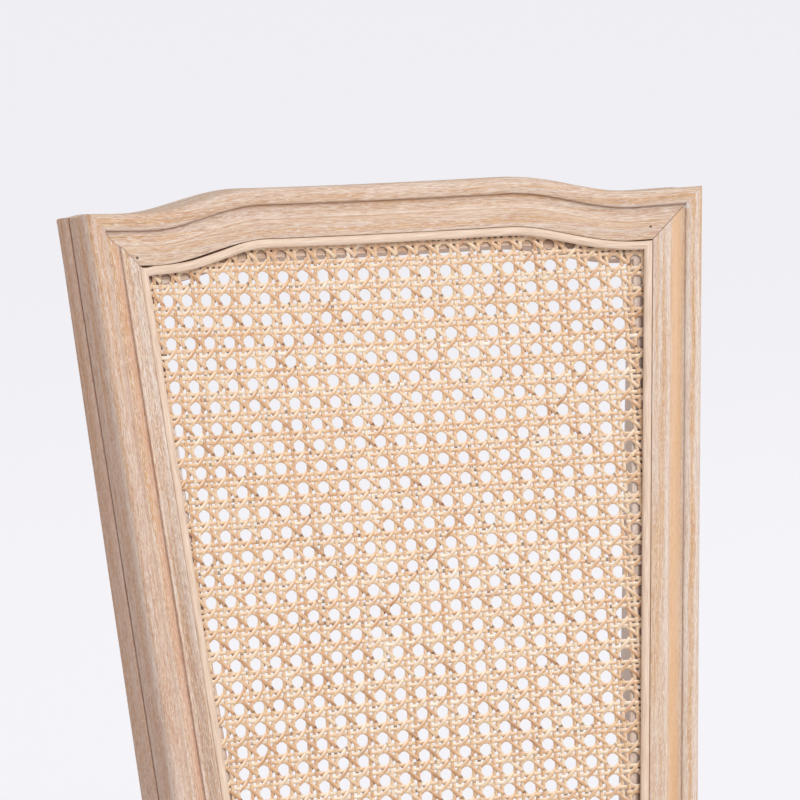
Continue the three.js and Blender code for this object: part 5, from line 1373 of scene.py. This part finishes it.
class CHAIR_OT_dust_cover(bpy.types.Operator):
    """Stretch the dust cloth under the seat board"""

    bl_idname = "chair.dust_cover"
    bl_label = "Dust cover"

    SAG, RIPPLE, CLOTH = 0.9, 0.25, 0.0004

    def execute(self, context):
        outline = rounded_outline(seat_outline(Back(), DUST_INSET), 9.0, 4.0)
        middle = np.array([0.0, outline[:, 1].mean()])
        rings, top = [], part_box("dust_cover")[1].z / MM
        for share in np.linspace(1, 0.04, 18):
            point = middle + (outline - middle) * share
            sag = self.SAG * (1 - share**2) ** 2
            ripple = np.array([noise.noise(Vector((x * 0.03, y * 0.03, 1.7))) for x, y in point]) * self.RIPPLE
            rings.append(stacked(*point.T, top - 0.35 - sag + ripple * (share < 0.99)))
        mesh = sheet_mesh("dust_cloth", rings)
        # The cloth is the sheet without the face across its rim
        work = bmesh.new()
        work.from_mesh(mesh)
        rim = max((face for face in work.faces if len(face.verts) > 4), key=lambda face: face.calc_area())
        bmesh.ops.delete(work, geom=[rim], context="FACES_ONLY")
        bmesh.ops.recalc_face_normals(work, faces=work.faces)
        area = sum(face.calc_area() for face in work.faces)
        work.to_mesh(mesh)
        work.free()
        piece = piece_of("dust_cloth", mesh, material_of("dust_cambric", plain), ["dust_cover"])
        shell = piece.modifiers.new("thickness", "SOLIDIFY")
        shell.thickness, shell.offset = self.CLOTH, 1
        return {"FINISHED"}


class CHAIR_OT_joinery(bpy.types.Operator):
    """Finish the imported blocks, screws, dowels, board and glides"""

    bl_idname = "chair.joinery"
    bl_label = "Joinery"

    FINISHES = (
        ("dowel", "sawn_beech", plain), ("corner_block", "sawn_beech", plain), ("screw", "zinc_plated_steel", plain),
        ("glide", "moulded_nylon", plain), ("seat_board", "birch_plywood", plywood),
    )

    def execute(self, context):
        for word, name, make in self.FINISHES:
            for node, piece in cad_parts.items():
                if word in node:
                    piece.data.materials.clear()
                    piece.data.materials.append(material_of(name, make))
        return {"FINISHED"}


# ---------------------------------------------------------------- stage


class CHAIR_OT_stage(bpy.types.Operator):
    """Set the pale floor, the soft light and the camera"""

    bl_idname = "chair.stage"
    bl_label = "Stage"

    # The camera, as the photographed net of the cane places it: millimetres, degrees and lens
    CAMERA, TURN, LENS = (-919.1, -2029.3, 1205.7), (82.12, 0.7484, -22.284), 158.2
    FLOOR_RADIUS = 160
    SUN_TURN, CEILING_PLACE = (math.radians(49), 0, math.radians(8)), (2.2, 2.4, 3.4)

    def execute(self, context):
        scene = context.scene
        scene.view_settings.view_transform = "Standard"
        mesh = bpy.data.meshes.new("floor")
        corners = [(math.cos(a) * self.FLOOR_RADIUS, math.sin(a) * self.FLOOR_RADIUS, 0) for a in turns(64)]
        mesh.from_pydata(corners, [], [list(range(64))])
        mesh.materials.append(material_of("painted_floor", painted_floor))
        placed("floor", mesh)
        self.light(scene)
        scene.camera = placed("camera", bpy.data.cameras.new("camera"))
        scene.camera.data.lens = self.LENS
        scene.camera.data.sensor_width = 36
        scene.camera.data.clip_end = 500
        scene.camera.rotation_euler = [math.radians(angle) for angle in self.TURN]
        scene.camera.location = Vector(self.CAMERA) * MM
        return {"FINISHED"}

    def light(self, scene):
        world = bpy.data.worlds.new("studio")
        scene.world = world
        world.use_nodes = True
        backdrop = world.node_tree.nodes["Background"].inputs
        backdrop["Color"].default_value = linear("#F6F6FA")
        backdrop["Strength"].default_value = 0.6
        sun = bpy.data.lights.new("window", "SUN")
        sun.energy, sun.angle, sun.color = 1.9, math.radians(24), (1.0, 0.99, 0.975)
        placed("window", sun).rotation_euler = self.SUN_TURN
        ceiling = bpy.data.lights.new("ceiling", "AREA")
        ceiling.energy, ceiling.size = 9, 5
        placed("ceiling", ceiling).location = self.CEILING_PLACE


# ---------------------------------------------------------------- add-on


class CHAIR_PT_panel(bpy.types.Panel):
    """Lists the steps that dress the chair"""

    bl_label = "Cane Back Chair"
    bl_idname = "CHAIR_PT_panel"
    bl_space_type = "VIEW_3D"
    bl_region_type = "UI"
    bl_category = "Chair"

    def draw(self, context):
        for name, _ in GROUPS:
            group, box = getattr(context.scene, name), self.layout.box()
            for key in group.__annotations__:
                box.prop(group, key)
        for step in STEPS:
            self.layout.operator(step.bl_idname)


STEPS = (
    CHAIR_OT_stage, CHAIR_OT_crest_rail, CHAIR_OT_rear_legs, CHAIR_OT_lower_back_rail, CHAIR_OT_woven_cane,
    CHAIR_OT_reeds, CHAIR_OT_front_legs, CHAIR_OT_seat_rails, CHAIR_OT_seat_cushion, CHAIR_OT_welt,
    CHAIR_OT_dust_cover, CHAIR_OT_joinery,
)
GROUPS = (
    ("chair_back", ChairBackSizes), ("chair_cane", CaneSizes), ("chair_seat", SeatSizes),
    ("chair_colours", ChairColours),
)
CLASSES = tuple(group for _, group in GROUPS) + STEPS + (CHAIR_PT_panel,)


def register():
    for cls in CLASSES:
        bpy.utils.register_class(cls)
    for name, group in GROUPS:
        setattr(bpy.types.Scene, name, bpy.props.PointerProperty(type=group))


def unregister():
    for name, _ in GROUPS:
        delattr(bpy.types.Scene, name)
    for cls in reversed(CLASSES):
        bpy.utils.unregister_class(cls)


def main():
    register()
    for step in STEPS:
        prefix, name = step.bl_idname.split(".")
        getattr(getattr(bpy.ops, prefix), name)()


if __name__ == "__main__":
    main()
